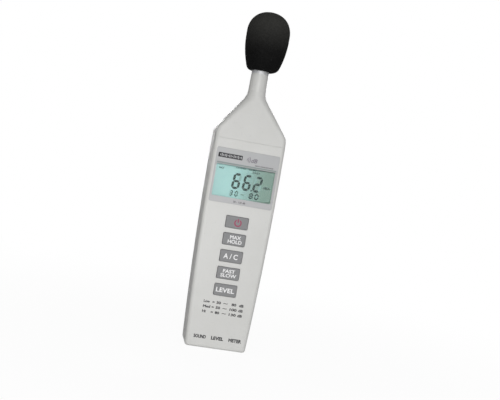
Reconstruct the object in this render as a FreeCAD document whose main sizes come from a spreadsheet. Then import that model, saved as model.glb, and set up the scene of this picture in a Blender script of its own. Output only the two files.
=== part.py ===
"""A hand-held sound level meter, built as an assembly of separate pieces.

Units are millimetres. +Z runs up the meter from its flat base to the microphone,
the front panel faces -Y, and +X is to the right of somebody reading the display.
The origin is on the microphone axis at the level of the base.
"""
import FreeCAD, Part
import math
import os
import Sketcher

VECTOR = FreeCAD.Vector
DOCUMENT = FreeCAD.newDocument("SoundLevelMeter")
SHEET = DOCUMENT.addObject("Spreadsheet::Sheet", "dims")

DIMENSIONS = [
    # the case: half-widths across X, depths along Y from the microphone axis, heights up Z
    ("front_depth", 15.1), ("back_depth", 15.9), ("wall", 2.0), ("parting", 0.6),
    ("waist_half", 26.3), ("waist_height", 135.0), ("base_half", 22.6),
    ("edge_round", 2.8), ("inner_round", 1.2), ("base_round", 2.0), ("seam_width", 0.5),
    ("seam_depth", 0.35), ("crease_height", 154.2), ("crease_groove", 0.6), ("crease_deep", 0.35),
    ("shoulder_low", 159.0), ("shoulder_mid", 161.0),
    ("shoulder_high", 163.0), ("shoulder_half", 25.85), ("taper_half", 24.8),
    ("throat_low", 186.5), ("throat_mid", 189.5), ("throat_high", 192.5),
    ("throat_half", 8.6), ("throat_mid_half", 7.15),
    ("neck_foot_radius", 6.6), ("neck_radius", 6.4), ("neck_top", 206.0), ("neck_bore", 4.8),
    ("bore_lap", 6.0), ("fit_gap", 0.1),
    # the front panel
    ("label_half", 23.6), ("label_low", 107.5), ("label_high", 147.5), ("label_recess", 0.3),
    ("label_thick", 0.25), ("label_round", 1.2),
    ("window_half", 22.0), ("window_low", 112.0), ("window_high", 135.5), ("window_lip", 0.4),
    ("window_round", 0.5),
    ("key_half", 8.3), ("key_high", 8.6), ("key_pitch", 12.6), ("key_top_level", 94.7),
    ("key_round", 0.7), ("key_gap", 0.25), ("key_travel", 0.8), ("key_edge", 0.45),
    ("flange_half", 9.4), ("flange_high", 10.9), ("flange_thick", 1.0), ("flange_round", 1.0),
    ("stem_long", 1.5), ("stem_half", 3.5), ("stem_rise", 2.0), ("stem_round", 0.8),
    ("pad_radius", 3.0), ("pad_rest_gap", 0.9), ("mat_thick", 1.2), ("mat_half", 17.0),
    ("mat_low", 37.0), ("mat_high", 102.0), ("mat_round", 1.5),
    # the board and the display stack
    ("board_front", 7.7), ("board_thick", 1.6), ("board_half", 20.8), ("board_low", 22.0),
    ("board_high", 143.0), ("board_round", 1.0), ("post_offset", 18.6), ("post_low", 29.0),
    ("post_high", 103.6), ("post_radius", 2.3), ("post_floor", 0.5), ("board_hole", 1.2),
    ("board_screw_radius", 0.95), ("board_screw_head", 2.0), ("board_screw_cap", 1.3),
    ("board_screw_long", 5.5), ("thread_gap", 0.05),
    ("lens_thick", 2.1), ("lens_flange", 0.8), ("lens_margin", 2.6),
    ("frame_half", 23.7), ("frame_low", 106.0), ("frame_high", 141.5), ("frame_lip", 0.6),
    ("frame_round", 1.0), ("sight_side", 0.2), ("sight_rise", 0.5), ("glass_round", 0.3),
    ("glass_half", 22.7), ("glass_low", 108.5), ("glass_high", 139.5), ("glass_thick", 1.2),
    ("glass_ledge", 3.0), ("strip_half", 21.0), ("strip_high", 1.8), ("strip_up", 0.5),
    ("crystal_round", 1.8), ("mic_header_low", 134.5), ("mic_header_top", 140.0),
    ("battery_header_low", 91.0), ("battery_header_top", 96.0),
    # the battery, its compartment and its door
    ("battery_half", 13.2), ("battery_thick", 17.5), ("battery_low", 11.5), ("battery_long", 46.4),
    ("battery_round", 2.0), ("battery_back", 12.9), ("snap_pitch", 12.7), ("snap_high", 2.4),
    ("male_snap", 2.8), ("female_snap", 3.7), ("snap_gap", 0.05), ("snap_cap_thick", 4.6),
    ("snap_cap_inset", 0.6), ("snap_cap_half", 6.2), ("snap_cap_round", 5.8),
    ("snap_cap_lift", 0.2), ("rest_back", 5.0),
    ("bay_half", 14.0), ("bay_wall", 1.2), ("bay_high", 69.0), ("bay_floor", 0.9),
    ("notch_half", 5.0), ("notch_front", 0.5), ("notch_deep", 6.0),
    ("door_half", 14.6), ("door_low", 8.0), ("door_high", 67.0), ("door_gap", 0.4),
    ("door_round", 1.0), ("grip_half", 5.0), ("grip_down", 6.0), ("grip_pitch", 1.6),
    ("grip_wide", 0.7), ("grip_deep", 0.5),
    ("tab_long", 2.0), ("tab_thick", 1.4), ("tab_offset", 9.0), ("tab_half", 3.0),
    ("tab_gap", 0.2), ("tab_up", 3.0), ("tab_root_up", 0.3), ("tab_join", 0.4),
    ("latch_half", 4.0), ("latch_deep", 1.6), ("latch_high", 2.2),
    ("foam_pad_thick", 0.8), ("foam_pad_half", 9.0), ("foam_pad_low", 20.0),
    ("foam_pad_high", 50.0),
    # fasteners and the tripod socket
    ("boss_low", 9.0), ("boss_low_offset", 18.1), ("boss_high", 150.0), ("boss_high_offset", 19.8),
    ("boss_radius", 2.7), ("tower_radius", 2.8), ("screw_radius", 1.2),
    ("screw_head_radius", 2.3), ("screw_head", 1.6), ("slot_half", 0.3), ("slot_deep", 0.7),
    ("screw_hole", 1.6), ("screw_recess", 2.45), ("screw_depth", 2.2), ("screw_long", 19.0),
    ("pilot_radius", 1.25), ("pilot_floor", 2.0), ("tripod_level", 92.0), ("tripod_bore", 2.6),
    ("tripod_long", 8.0), ("tripod_outer", 4.5), ("tripod_boss", 6.5), ("tripod_floor", 1.5),
    # the microphone and its windscreen
    ("spigot_radius", 4.72), ("spigot_low", 194.0), ("barrel_radius", 6.35), ("barrel_top", 225.0),
    ("barrel_bore", 5.5), ("bore_floor", 209.0), ("lead_bore", 1.6),
    ("capsule_radius", 4.85), ("capsule_low", 214.0), ("capsule_long", 6.6),
    ("capsule_seat", 1.2), ("capsule_rim", 0.8), ("capsule_dish", 0.4),
    ("sleeve_low", 211.0), ("sleeve_high", 221.0), ("grid_top", 226.4), ("grid_skirt", 3.0),
    ("grid_wall", 0.9), ("grid_inner", 0.5), ("grid_edge", 0.4), ("grid_hole", 0.9),
    ("grid_ring", 3.6),
    ("foam_low", 208.3), ("foam_long", 44.3), ("foam_radius", 16.0), ("foam_bore", 6.42),
    ("foam_socket", 18.7), ("foam_corner", 5.2), ("foam_side", 63.2), ("foam_side_high", 25.2),
    # the calibration trimmer
    ("trimmer_level", 126.0), ("trimmer_in", 12.0), ("trimmer_out", 18.6), ("trimmer_deep", 5.0),
    ("trimmer_high", 7.0), ("rotor_radius", 1.5), ("rotor_gap", 0.05), ("rotor_long", 2.6),
    ("rotor_slot_half", 0.25), ("rotor_slot_deep", 0.7), ("access_radius", 1.7),
    ("access_start", 4.0),
    # the wires
    ("mic_lead_radius", 0.8), ("mic_lead_lift", 0.7), ("mic_lead_straight", 165.0),
    ("mic_lead_down", 149.0), ("battery_lead_radius", 0.65), ("lead_part", 2.4),
    ("lead_near", 1.6), ("lead_rise", 74.5), ("lead_turn", 82.5), ("plug_lift", 1.8),
]


def fill_sheet():
    """Put every driving dimension in the sheet as a plain number with an alias."""
    for row, (alias, number) in enumerate(DIMENSIONS, start=1):
        SHEET.set(f"A{row}", alias.replace("_", " "))
        SHEET.set(f"B{row}", str(number))
        SHEET.setAlias(f"B{row}", alias)
    DOCUMENT.recompute()


class Size:
    """A length held both as a number and as the sheet expression that gives it."""

    def __init__(self, number, text=None):
        self.number = float(number)
        self.text = text or repr(float(number))

    def _join(self, sign, other, number):
        return Size(number, f"({self.text} {sign} {other.text})")

    def __add__(self, other):
        other = size(other)
        return self._join("+", other, self.number + other.number)

    def __sub__(self, other):
        other = size(other)
        return self._join("-", other, self.number - other.number)

    def __mul__(self, other):
        other = size(other)
        return self._join("*", other, self.number * other.number)

    def __truediv__(self, other):
        other = size(other)
        return self._join("/", other, self.number / other.number)

    def __neg__(self):
        return Size(0) - self

    def __radd__(self, other):
        return size(other) + self

    def __rsub__(self, other):
        return size(other) - self

    def __rmul__(self, other):
        return size(other) * self

    def root(self):
        return Size(math.sqrt(self.number), f"sqrt({self.text})")


def size(value):
    """Wrap a bare number, and leave a Size as it is."""
    return value if isinstance(value, Size) else Size(value)


class Cells:
    """Gives each sheet cell as an attribute, such as D.wall."""

    def __init__(self):
        for alias, number in DIMENSIONS:
            setattr(self, alias, Size(number, f"dims.{alias}"))


D = Cells()
FRONT = -D.front_depth
BACK = D.back_depth
INNER_FRONT = FRONT + D.wall
INNER_BACK = BACK - D.wall
BOARD_FRONT = -D.board_front
BOARD_BACK = BOARD_FRONT + D.board_thick
SIDE_DROP = D.waist_half - D.base_half
SIDE_RADIUS = (D.waist_height * D.waist_height + SIDE_DROP * SIDE_DROP) / (SIDE_DROP * 2)
SIDE_CENTRE = D.waist_half - SIDE_RADIUS
TURNS = {
    "x": FreeCAD.Rotation(VECTOR(0, 1, 0), 90),
    "y": FreeCAD.Rotation(VECTOR(1, 0, 0), -90),
    "z": FreeCAD.Rotation(),
}
SIDES = (-1, 1)
OVERSHOOT = 1.0    # a cutting tool runs this far past the surface it cuts
OVERLAP = 0.5      # pieces that are fused run this far into each other
FAR = 40.0         # further from the axis than any side of the case
TINY = 0.01
SIDE_SPANS = 8     # spans of each side's long arc, kept apart so that no face is very long
NODES = []


def node(shape_object, label):
    """Name a finished piece and put it on the list of pieces to write."""
    shape_object.Label = label
    NODES.append(shape_object)
    return shape_object


def bind(target, path, value):
    target.setExpression(path, size(value).text)


# ---------------------------------------------------------------- primitives and booleans

def place(target, x, y, z):
    """Bind a primitive's position."""
    for axis, value in zip("xyz", (x, y, z)):
        bind(target, f"Placement.Base.{axis}", value)


def block(name, x_span, y_span, z_span):
    """A box between two limits along each axis."""
    box = DOCUMENT.addObject("Part::Box", name)
    for side, span in zip(("Length", "Width", "Height"), (x_span, y_span, z_span)):
        bind(box, side, size(span[1]) - span[0])
    place(box, x_span[0], y_span[0], z_span[0])
    return box


def rod(name, axis, radius, centre, span):
    """A cylinder along an axis, centred at the two other coordinates."""
    cylinder = DOCUMENT.addObject("Part::Cylinder", name)
    bind(cylinder, "Radius", radius)
    bind(cylinder, "Height", size(span[1]) - span[0])
    cylinder.Placement = FreeCAD.Placement(VECTOR(), TURNS[axis])
    position = list(centre)
    position.insert("xyz".index(axis), span[0])
    place(cylinder, *position)
    return cylinder


def fuse(name, pieces):
    joined = DOCUMENT.addObject("Part::MultiFuse", name)
    joined.Shapes = pieces
    joined.Refine = False
    return joined


def group(name, pieces):
    """Separate solids that share one node."""
    together = DOCUMENT.addObject("Part::Compound", name)
    together.Links = pieces
    return together


def cut(name, base, tools):
    """Take one or more tools away from a base."""
    result = DOCUMENT.addObject("Part::Cut", name)
    result.Base = base
    result.Tool = tools[0] if len(tools) == 1 else fuse(name + "_tools", tools)
    return result


def common(name, first, second):
    result = DOCUMENT.addObject("Part::MultiCommon", name)
    result.Shapes = [first, second]
    return result


# ---------------------------------------------------------------- bodies and sketches

def new_body(name):
    return DOCUMENT.addObject("PartDesign::Body", name)


def sketch_on(body, role, level, name):
    """A sketch on one of the body's origin planes, moved along the plane's normal."""
    plane = [feature for feature in body.Origin.OriginFeatures if feature.Role == role][0]
    sketch = body.newObject("Sketcher::SketchObject", name)
    sketch.AttachmentSupport = [(plane, "")]
    sketch.MapMode = "FlatFace"
    offset = -size(level) if role == "XZ_Plane" else size(level)
    sketch.AttachmentOffset = FreeCAD.Placement(VECTOR(0, 0, offset.number), FreeCAD.Rotation())
    bind(sketch, "AttachmentOffset.Base.z", offset)
    return sketch


def hold(sketch, kind, value, *points):
    """Add a dimension to a sketch and bind it to the sheet."""
    value = size(value)
    index = sketch.addConstraint(Sketcher.Constraint(kind, *points, value.number))
    bind(sketch, f"Constraints[{index}]", value)


def join(sketch, kind, *points):
    sketch.addConstraint(Sketcher.Constraint(kind, *points))


def line(sketch, start, end):
    ends = [VECTOR(size(x).number, size(y).number, 0) for x, y in (start, end)]
    return sketch.addGeometry(Part.LineSegment(*ends), False)


def arc(sketch, centre, radius, start_degrees, end_degrees):
    """A counterclockwise arc."""
    middle = VECTOR(size(centre[0]).number, size(centre[1]).number, 0)
    circle = Part.Circle(middle, VECTOR(0, 0, 1), size(radius).number)
    angles = [math.radians(start_degrees), math.radians(end_degrees)]
    return sketch.addGeometry(Part.ArcOfCircle(circle, *angles), False)


def circle(sketch, centre, radius):
    """A full circle, held by its centre and radius."""
    middle = VECTOR(size(centre[0]).number, size(centre[1]).number, 0)
    geometry = Part.Circle(middle, VECTOR(0, 0, 1), size(radius).number)
    ring = sketch.addGeometry(geometry, False)
    hold(sketch, "DistanceX", centre[0], -1, 1, ring, 3)
    hold(sketch, "DistanceY", centre[1], -1, 1, ring, 3)
    hold(sketch, "Radius", radius, ring)


def polygon(sketch, points):
    """A closed outline of straight lines, each corner held by its two coordinates."""
    count = len(points)
    lines = [line(sketch, points[i], points[(i + 1) % count]) for i in range(count)]
    for i, (x, y) in enumerate(points):
        join(sketch, "Coincident", lines[i - 1], 2, lines[i], 1)
        hold(sketch, "DistanceX", x, -1, 1, lines[i], 1)
        hold(sketch, "DistanceY", y, -1, 1, lines[i], 1)


def rectangle(sketch, x_span, y_span):
    (left, right), (low, high) = x_span, y_span
    polygon(sketch, [(left, low), (right, low), (right, high), (left, high)])


def rounded_rectangle(sketch, x_span, y_span, radius):
    """A rectangle with four equal round corners."""
    left, right = (size(value) for value in x_span)
    low, high = (size(value) for value in y_span)
    radius = size(radius)
    sides = [
        line(sketch, (left + radius, low), (right - radius, low)),
        line(sketch, (right, low + radius), (right, high - radius)),
        line(sketch, (right - radius, high), (left + radius, high)),
        line(sketch, (left, high - radius), (left, low + radius)),
    ]
    corners = [
        arc(sketch, (right - radius, low + radius), radius, 270, 360),
        arc(sketch, (right - radius, high - radius), radius, 0, 90),
        arc(sketch, (left + radius, high - radius), radius, 90, 180),
        arc(sketch, (left + radius, low + radius), radius, 180, 270),
    ]
    for i in range(4):
        join(sketch, "Tangent", sides[i], 2, corners[i], 1)
        join(sketch, "Tangent", corners[i], 2, sides[(i + 1) % 4], 1)
        join(sketch, "Vertical" if i % 2 else "Horizontal", sides[i])
    for corner in corners[1:]:
        join(sketch, "Equal", corners[0], corner)
    hold(sketch, "Radius", radius, corners[0])
    hold(sketch, "DistanceY", low, -1, 1, sides[0], 1)
    hold(sketch, "DistanceX", right, -1, 1, sides[1], 1)
    hold(sketch, "DistanceY", high, -1, 1, sides[2], 1)
    hold(sketch, "DistanceX", left, -1, 1, sides[3], 1)


def pad(body, sketch, length, name, backward=False):
    """Extrude a sketch; on the front planes backward means towards +Y."""
    feature = body.newObject("PartDesign::Pad", name)
    feature.Profile = sketch
    bind(feature, "Length", length)
    feature.Reversed = backward
    feature.Refine = False
    sketch.Visibility = False
    return feature


def pocket(body, sketch, length, name, backward=False):
    """Cut a sketch into the body; on the front planes backward means towards -Y."""
    before = solid_volume(body)
    feature = body.newObject("PartDesign::Pocket", name)
    feature.Profile = sketch
    bind(feature, "Length", length)
    feature.Reversed = backward
    if solid_volume(body) >= before:
        raise RuntimeError(f"{name} cuts nothing")
    return feature


def revolve(body, sketch, name):
    """Turn a sketch on the XZ plane a full turn about the sketch's vertical axis."""
    feature = body.newObject("PartDesign::Revolution", name)
    feature.Profile = sketch
    feature.ReferenceAxis = (sketch, ["V_Axis"])
    feature.Angle = 360
    return feature


def solid_volume(body):
    DOCUMENT.recompute()
    return body.Shape.Volume


def soften(body, radius, name, wanted):
    """Round the edges of a body's last feature that a test picks out."""
    DOCUMENT.recompute()
    base = body.Tip
    names = [f"Edge{i}" for i, edge in enumerate(base.Shape.Edges, start=1) if wanted(edge)]
    feature = body.newObject("PartDesign::Fillet", name)
    feature.Base = (base, names)
    feature.Refine = False
    bind(feature, "Radius", radius)
    return feature


def panel(name, x_span, y_span, z_span, radius):
    """A plate facing the front, with rounded corners, as a body."""
    body = new_body(name)
    outline = sketch_on(body, "XZ_Plane", y_span[0], name + "_outline")
    rounded_rectangle(outline, x_span, z_span, radius)
    pad(body, outline, size(y_span[1]) - y_span[0], name + "_pad", backward=True)
    return body


def turned(name, points):
    """A body turned about the microphone axis from a half profile of (radius, height)."""
    body = new_body(name)
    profile = sketch_on(body, "XZ_Plane", 0, name + "_profile")
    polygon(profile, points)
    revolve(body, profile, name + "_turn")
    return body


# ---------------------------------------------------------------- the two case shells

def side_lean(height):
    """The angle of a height on the right side's arc, seen from the arc's centre."""
    rise = size(height) - D.waist_height
    return math.degrees(math.asin(rise.number / SIDE_RADIUS.number))


def side_outline(sketch, inset):
    """The case seen from the front: a long shallow arc up each side, in equal short spans."""
    radius = SIDE_RADIUS - inset
    step = (D.crease_height - inset) / SIDE_SPANS
    levels = [inset + step * number for number in range(SIDE_SPANS + 1)]
    leans = [side_lean(level) for level in levels]
    base = line(sketch, (-D.base_half, inset), (D.base_half, inset))
    right = [arc(sketch, (SIDE_CENTRE, D.waist_height), radius, low, high)
             for low, high in zip(leans, leans[1:])]
    top = line(sketch, (D.waist_half, D.crease_height), (-D.waist_half, D.crease_height))
    left = [arc(sketch, (-SIDE_CENTRE, D.waist_height), radius, 180 - high, 180 - low)
            for low, high in zip(leans, leans[1:])][::-1]
    chain = [base, *right, top, *left]
    for number, edge in enumerate(chain):
        join(sketch, "Coincident", chain[number - 1], 2, edge, 1)
    join(sketch, "Horizontal", base)
    join(sketch, "Horizontal", top)
    hold(sketch, "DistanceY", inset, -1, 1, base, 1)
    hold(sketch, "DistanceY", D.crease_height, -1, 1, top, 1)
    for side, spans in zip(SIDES, (left, right)):
        hold(sketch, "DistanceX", SIDE_CENTRE * side, -1, 1, spans[0], 3)
        hold(sketch, "DistanceY", D.waist_height, -1, 1, spans[0], 3)
        hold(sketch, "Radius", radius, spans[0])
        for span in spans[1:]:
            join(sketch, "Coincident", span, 3, spans[0], 3)
    for level, span in zip(levels[1:-1], right):
        hold(sketch, "DistanceY", level, -1, 1, span, 2)
    for level, span in zip(levels[-2:0:-1], left):
        hold(sketch, "DistanceY", level, -1, 1, span, 2)


FLAT = 0.05        # the straight part left on each side of the round neck sections


def top_sections(inset):
    """Height, half-width and corner radius of each section from the crease to the neck."""
    rise = D.crease_height - D.waist_height
    crease_half = SIDE_CENTRE + (SIDE_RADIUS * SIDE_RADIUS - rise * rise).root()
    corner = D.inner_round if inset.number == D.wall.number else D.edge_round - inset
    neck = D.neck_foot_radius - inset
    neck_corner = neck - FLAT
    return [
        (D.crease_height, crease_half - inset, corner),
        (D.shoulder_low, crease_half - inset, corner),
        (D.shoulder_mid, D.shoulder_half - inset, corner),
        (D.shoulder_high, D.taper_half - inset, corner),
        (D.throat_low, D.throat_half - inset, neck_corner),
        (D.throat_mid, D.throat_mid_half - inset, neck_corner),
        (D.throat_high, neck, neck_corner),
    ]


def depth_at(height, at_crease, at_neck):
    """The front or back slopes evenly from the crease to the neck."""
    share = (height - D.crease_height) / (D.throat_high - D.crease_height)
    return at_crease + (at_neck - at_crease) * share


def case_solid(name, inset):
    """The whole case as one solid, drawn in from the outer surface by an inset."""
    inset = size(inset)
    body = new_body(name)
    outline = sketch_on(body, "XZ_Plane", FRONT + inset, name + "_outline")
    side_outline(outline, inset)
    pad(body, outline, BACK - FRONT - inset * 2, name + "_trunk", backward=True)
    corner = top_sections(inset)[0][2]
    soften(body, corner, name + "_edges", runs_up_the_case)
    sketches = []
    for number, (height, half, radius) in enumerate(top_sections(inset)):
        front = depth_at(height, FRONT + inset, -(D.neck_foot_radius - inset))
        back = depth_at(height, BACK - inset, D.neck_foot_radius - inset)
        section = sketch_on(body, "XY_Plane", height, f"{name}_section_{number}")
        rounded_rectangle(section, (-half, half), (front, back), radius)
        sketches.append(section)
    loft = body.newObject("PartDesign::AdditiveLoft", name + "_taper")
    loft.Profile = sketches[0]
    loft.Sections = sketches[1:]
    loft.Ruled = True
    loft.Refine = False
    return body


def runs_up_the_case(edge):
    """True for the four long edges between the front or back face and a side."""
    box = edge.BoundBox
    return box.ZLength > D.crease_height.number / (2 * SIDE_SPANS) and box.YLength < TINY


def at_the_base(edge):
    return edge.BoundBox.ZMax < TINY


def outer_case():
    """The outer surface, with the rounded base and the round neck."""
    body = case_solid("case_form", 0)
    soften(body, D.base_round, "base_edges", at_the_base)
    neck = sketch_on(body, "XZ_Plane", 0, "neck_profile")
    foot = D.throat_high - OVERLAP
    polygon(neck, [(0, foot), (D.neck_foot_radius, foot), (D.neck_foot_radius, D.throat_high),
                   (D.neck_radius, D.neck_top), (0, D.neck_top)])
    revolve(body, neck, "neck")
    return body


def case_cavity():
    """The hollow inside the case, open through the neck."""
    body = case_solid("case_cavity", D.wall)
    bore = rod("neck_bore", "z", D.neck_bore, (0, 0),
               (D.throat_mid - D.bore_lap, D.neck_top + OVERSHOOT))
    return fuse("case_hollow", [body, bore])


def seam_groove(form):
    """A shallow shadow line all round the case where its two shells meet."""
    skin = case_solid("seam_core", D.seam_depth)
    neck_core = rod("seam_neck", "z", D.neck_radius - D.seam_depth, (0, 0),
                    (D.throat_mid, D.neck_top + OVERSHOOT))
    low = D.parting - D.seam_width / 2
    slab = block("seam_slab", (-FAR, FAR), (low, low + D.seam_width),
                 (-OVERSHOOT, D.neck_top + OVERSHOOT))
    ring = common("seam_ring", form, slab)
    return cut("seam_groove", ring, [skin, neck_core])


def key_levels():
    return [D.key_top_level - D.key_pitch * number for number in range(5)]


def crease_line():
    """The fine groove across the front where the panel ends and the taper begins."""
    rise = D.crease_groove / 2
    return block("crease_line", (-FAR, FAR), (FRONT - OVERSHOOT, FRONT + D.crease_deep),
                 (D.crease_height - rise, D.crease_height + rise))


def panel_cutouts():
    """The label recess, the display window and the five key openings."""
    start = FRONT - OVERSHOOT
    body = new_body("panel_cutouts")
    recess = sketch_on(body, "XZ_Plane", start, "label_recess")
    rounded_rectangle(recess, (-D.label_half, D.label_half), (D.label_low, D.label_high),
                      D.label_round)
    pad(body, recess, D.label_recess + OVERSHOOT, "label_recess_pad", backward=True)
    opening = sketch_on(body, "XZ_Plane", start, "panel_opening")
    reach = D.window_half + D.window_lip
    rounded_rectangle(opening, (-reach, reach),
                      (D.window_low - D.window_lip, D.window_high + D.window_lip),
                      D.window_round + D.fit_gap)
    pad(body, opening, D.wall + OVERSHOOT * 2, "window_pad", backward=True)
    pieces = [body]
    for number, level in enumerate(key_levels()):
        rise = D.key_high / 2 + D.key_gap
        across = D.key_half + D.key_gap
        pieces.append(panel(f"key_opening_{number}", (-across, across),
                            (start, INNER_FRONT + OVERSHOOT), (level - rise, level + rise),
                            D.key_round + D.key_gap))
    return pieces


def case_screw_places():
    """The four case screws: two beside the battery and two below the shoulders."""
    return [(side * offset, level) for level, offset in
            ((D.boss_low, D.boss_low_offset), (D.boss_high, D.boss_high_offset))
            for side in SIDES]


def board_post_places():
    return [(side * D.post_offset, level) for level in (D.post_low, D.post_high)
            for side in SIDES]


def front_case(form, hollow, groove):
    """Front shell with its key openings, screw bosses and board posts."""
    half = block("front_half", (-FAR, FAR), (-FAR, D.parting), (-OVERSHOOT, D.foam_low))
    shell = cut("front_shell", common("front_form", form, half), [hollow])
    solids = [shell]
    holes = panel_cutouts() + [groove, crease_line()]
    for number, (x, level) in enumerate(case_screw_places()):
        solids.append(rod(f"front_boss_{number}", "y", D.boss_radius, (x, level),
                          (FRONT + D.wall / 2, D.parting)))
        holes.append(rod(f"front_pilot_{number}", "y", D.pilot_radius, (x, level),
                         (INNER_FRONT + D.pilot_floor, D.parting + OVERSHOOT)))
    for number, (x, level) in enumerate(board_post_places()):
        solids.append(rod(f"board_post_{number}", "y", D.post_radius, (x, level),
                          (FRONT + D.wall / 2, BOARD_FRONT)))
        holes.append(rod(f"post_pilot_{number}", "y", D.board_screw_radius + D.thread_gap,
                         (x, level), (INNER_FRONT + D.post_floor, BOARD_FRONT + OVERSHOOT)))
    holes.append(rod("trimmer_access", "x", D.access_radius, (trimmer_depth(), D.trimmer_level),
                     (D.trimmer_out + D.access_start, FAR)))
    return node(cut("front_case_shape", fuse("front_solids", solids), holes), "front_case")


def rear_case(form, hollow, groove):
    """Rear shell with the battery bay, the screw towers and the tripod boss."""
    half = block("rear_half", (-FAR, FAR), (D.parting, FAR), (-OVERSHOOT, D.foam_low))
    shell = cut("rear_shell", common("rear_form", form, half), [hollow])
    floor_front = bay_floor_front()
    outer = D.bay_half + D.bay_wall
    bay_top = D.bay_high + D.bay_wall
    solids = [
        shell,
        block("bay_floor", (-outer, outer), (floor_front, floor_front + D.bay_floor),
              (D.wall, bay_top)),
        block("bay_roof", (-outer, outer), (floor_front, INNER_BACK + OVERLAP),
              (D.bay_high, bay_top)),
    ]
    for side in SIDES:
        inner, far = (side * D.bay_half, side * outer)
        span = (inner, far) if side > 0 else (far, inner)
        solids.append(block(f"bay_side_{side + 1}", span, (floor_front, INNER_BACK + OVERLAP),
                            (D.wall, bay_top)))
    rest = D.bay_half + OVERLAP
    solids.append(block("battery_rest", (-rest, rest), (floor_front, D.battery_back - D.rest_back),
                        (D.wall, D.battery_low - D.fit_gap)))
    door = D.door_half + D.door_gap
    notch = D.parting + D.notch_front
    holes = [
        groove,
        block("door_opening", (-door, door), (INNER_BACK - TINY, BACK + OVERSHOOT),
              (D.door_low - D.door_gap, D.door_high + D.door_gap)),
        block("lead_notch", (-D.notch_half, D.notch_half), (notch, notch + D.notch_deep),
              (D.bay_high - OVERSHOOT, bay_top + OVERSHOOT)),
    ]
    for number, (x, level) in enumerate(case_screw_places()):
        solids.append(rod(f"rear_tower_{number}", "y", D.tower_radius, (x, level),
                          (D.parting, BACK - D.wall / 2)))
        holes.append(rod(f"screw_way_{number}", "y", D.screw_hole, (x, level),
                         (D.parting - OVERSHOOT, BACK + OVERSHOOT)))
        holes.append(rod(f"screw_recess_{number}", "y", D.screw_recess, (x, level),
                         (BACK - D.screw_depth, BACK + OVERSHOOT)))
    solids.append(rod("tripod_boss", "y", D.tripod_boss, (0, D.tripod_level),
                      (BACK - D.tripod_long - D.tripod_floor, BACK - D.wall / 2)))
    holes.append(rod("tripod_pocket", "y", D.tripod_outer, (0, D.tripod_level),
                     (BACK - D.tripod_long, BACK + OVERSHOOT)))
    return node(cut("rear_case_shape", fuse("rear_solids", solids), holes), "rear_case")


def bay_floor_front():
    return D.battery_back - D.battery_thick - D.fit_gap - D.bay_floor


def case_screws():
    """Four pan-head screws with a cross recess, driven in from the back."""
    screws = []
    for number, (x, level) in enumerate(case_screw_places()):
        seat = BACK - D.screw_depth
        screws.append(pan_screw(f"case_screw_{number}", x, level, seat, D.screw_radius,
                                D.screw_head_radius, D.screw_head, D.screw_long))
    return node(group("case_screw_set", screws), "case_screws")


def board_screws():
    """Four short screws that hold the board to the front shell."""
    screws = []
    for number, (x, level) in enumerate(board_post_places()):
        screws.append(pan_screw(f"board_screw_{number}", x, level, BOARD_BACK,
                                D.board_screw_radius, D.board_screw_head,
                                D.board_screw_cap, D.board_screw_long))
    return node(group("board_screw_set", screws), "board_screws")


SLOT_SHARE = 0.65  # the cross recess spans this share of the head


def pan_screw(name, x, level, seat, shank, head, head_high, length):
    """A screw along Y whose head bears on the seat and whose shank runs towards the front."""
    solid = fuse(name + "_solid", [
        rod(name + "_head", "y", head, (x, level), (seat, seat + head_high)),
        rod(name + "_shank", "y", shank, (x, level), (seat - length, seat + OVERLAP)),
    ])
    top = seat + head_high
    reach = head * SLOT_SHARE
    slots = []
    for turn, (wide, high) in enumerate(((reach, D.slot_half), (D.slot_half, reach))):
        slots.append(block(f"{name}_slot_{turn}", (x - wide, x + wide),
                           (top - D.slot_deep, top + OVERSHOOT), (level - high, level + high)))
    return cut(name, solid, slots)


# ---------------------------------------------------------------- label, display and keys

def display_label():
    """The printed overlay round the display, lying in its recess."""
    floor = FRONT + D.label_recess
    reach = D.label_half - D.fit_gap
    sheet = panel("label_sheet", (-reach, reach), (floor - D.label_thick, floor),
                  (D.label_low + D.fit_gap, D.label_high - D.fit_gap), D.label_round)
    hole = panel("label_window", (-D.window_half, D.window_half),
                 (floor - OVERSHOOT, floor + OVERSHOOT), (D.window_low, D.window_high),
                 D.window_round - D.fit_gap)
    return node(cut("label_shape", sheet, [hole]), "display_label")


def lens_back():
    return INNER_FRONT + D.lens_flange


def lcd_window():
    """A clear window: a raised middle fills the opening and a flange bears on the wall."""
    lip = D.window_lip - D.fit_gap
    reach = D.window_half + lip
    body = panel("window_block", (-reach, reach), (lens_back() - D.lens_thick, lens_back()),
                 (D.window_low - lip, D.window_high + lip), D.window_round)
    flange = sketch_on(body, "XZ_Plane", INNER_FRONT, "window_flange")
    rounded_rectangle(flange, (-reach, reach), (D.window_low - D.lens_margin,
                      D.window_high + D.lens_margin), D.window_round)
    pad(body, flange, D.lens_flange, "window_flange_pad", backward=True)
    return node(body, "lcd_window")


def frame_front():
    return lens_back() + D.fit_gap


def glass_front():
    return frame_front() + D.frame_lip


def lcd_front_glass():
    """The front glass plate, longer at the bottom to carry the contact ledge."""
    start = glass_front()
    body = panel("front_glass", (-D.glass_half, D.glass_half), (start, start + D.glass_thick),
                 (D.glass_low, D.glass_high), D.glass_round)
    return node(body, "lcd_front_glass")


def lcd_rear_glass():
    start = glass_front() + D.glass_thick
    body = panel("rear_glass", (-D.glass_half, D.glass_half), (start, start + D.glass_thick),
                 (D.glass_low + D.glass_ledge, D.glass_high), D.glass_round)
    return node(body, "lcd_rear_glass")


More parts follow.
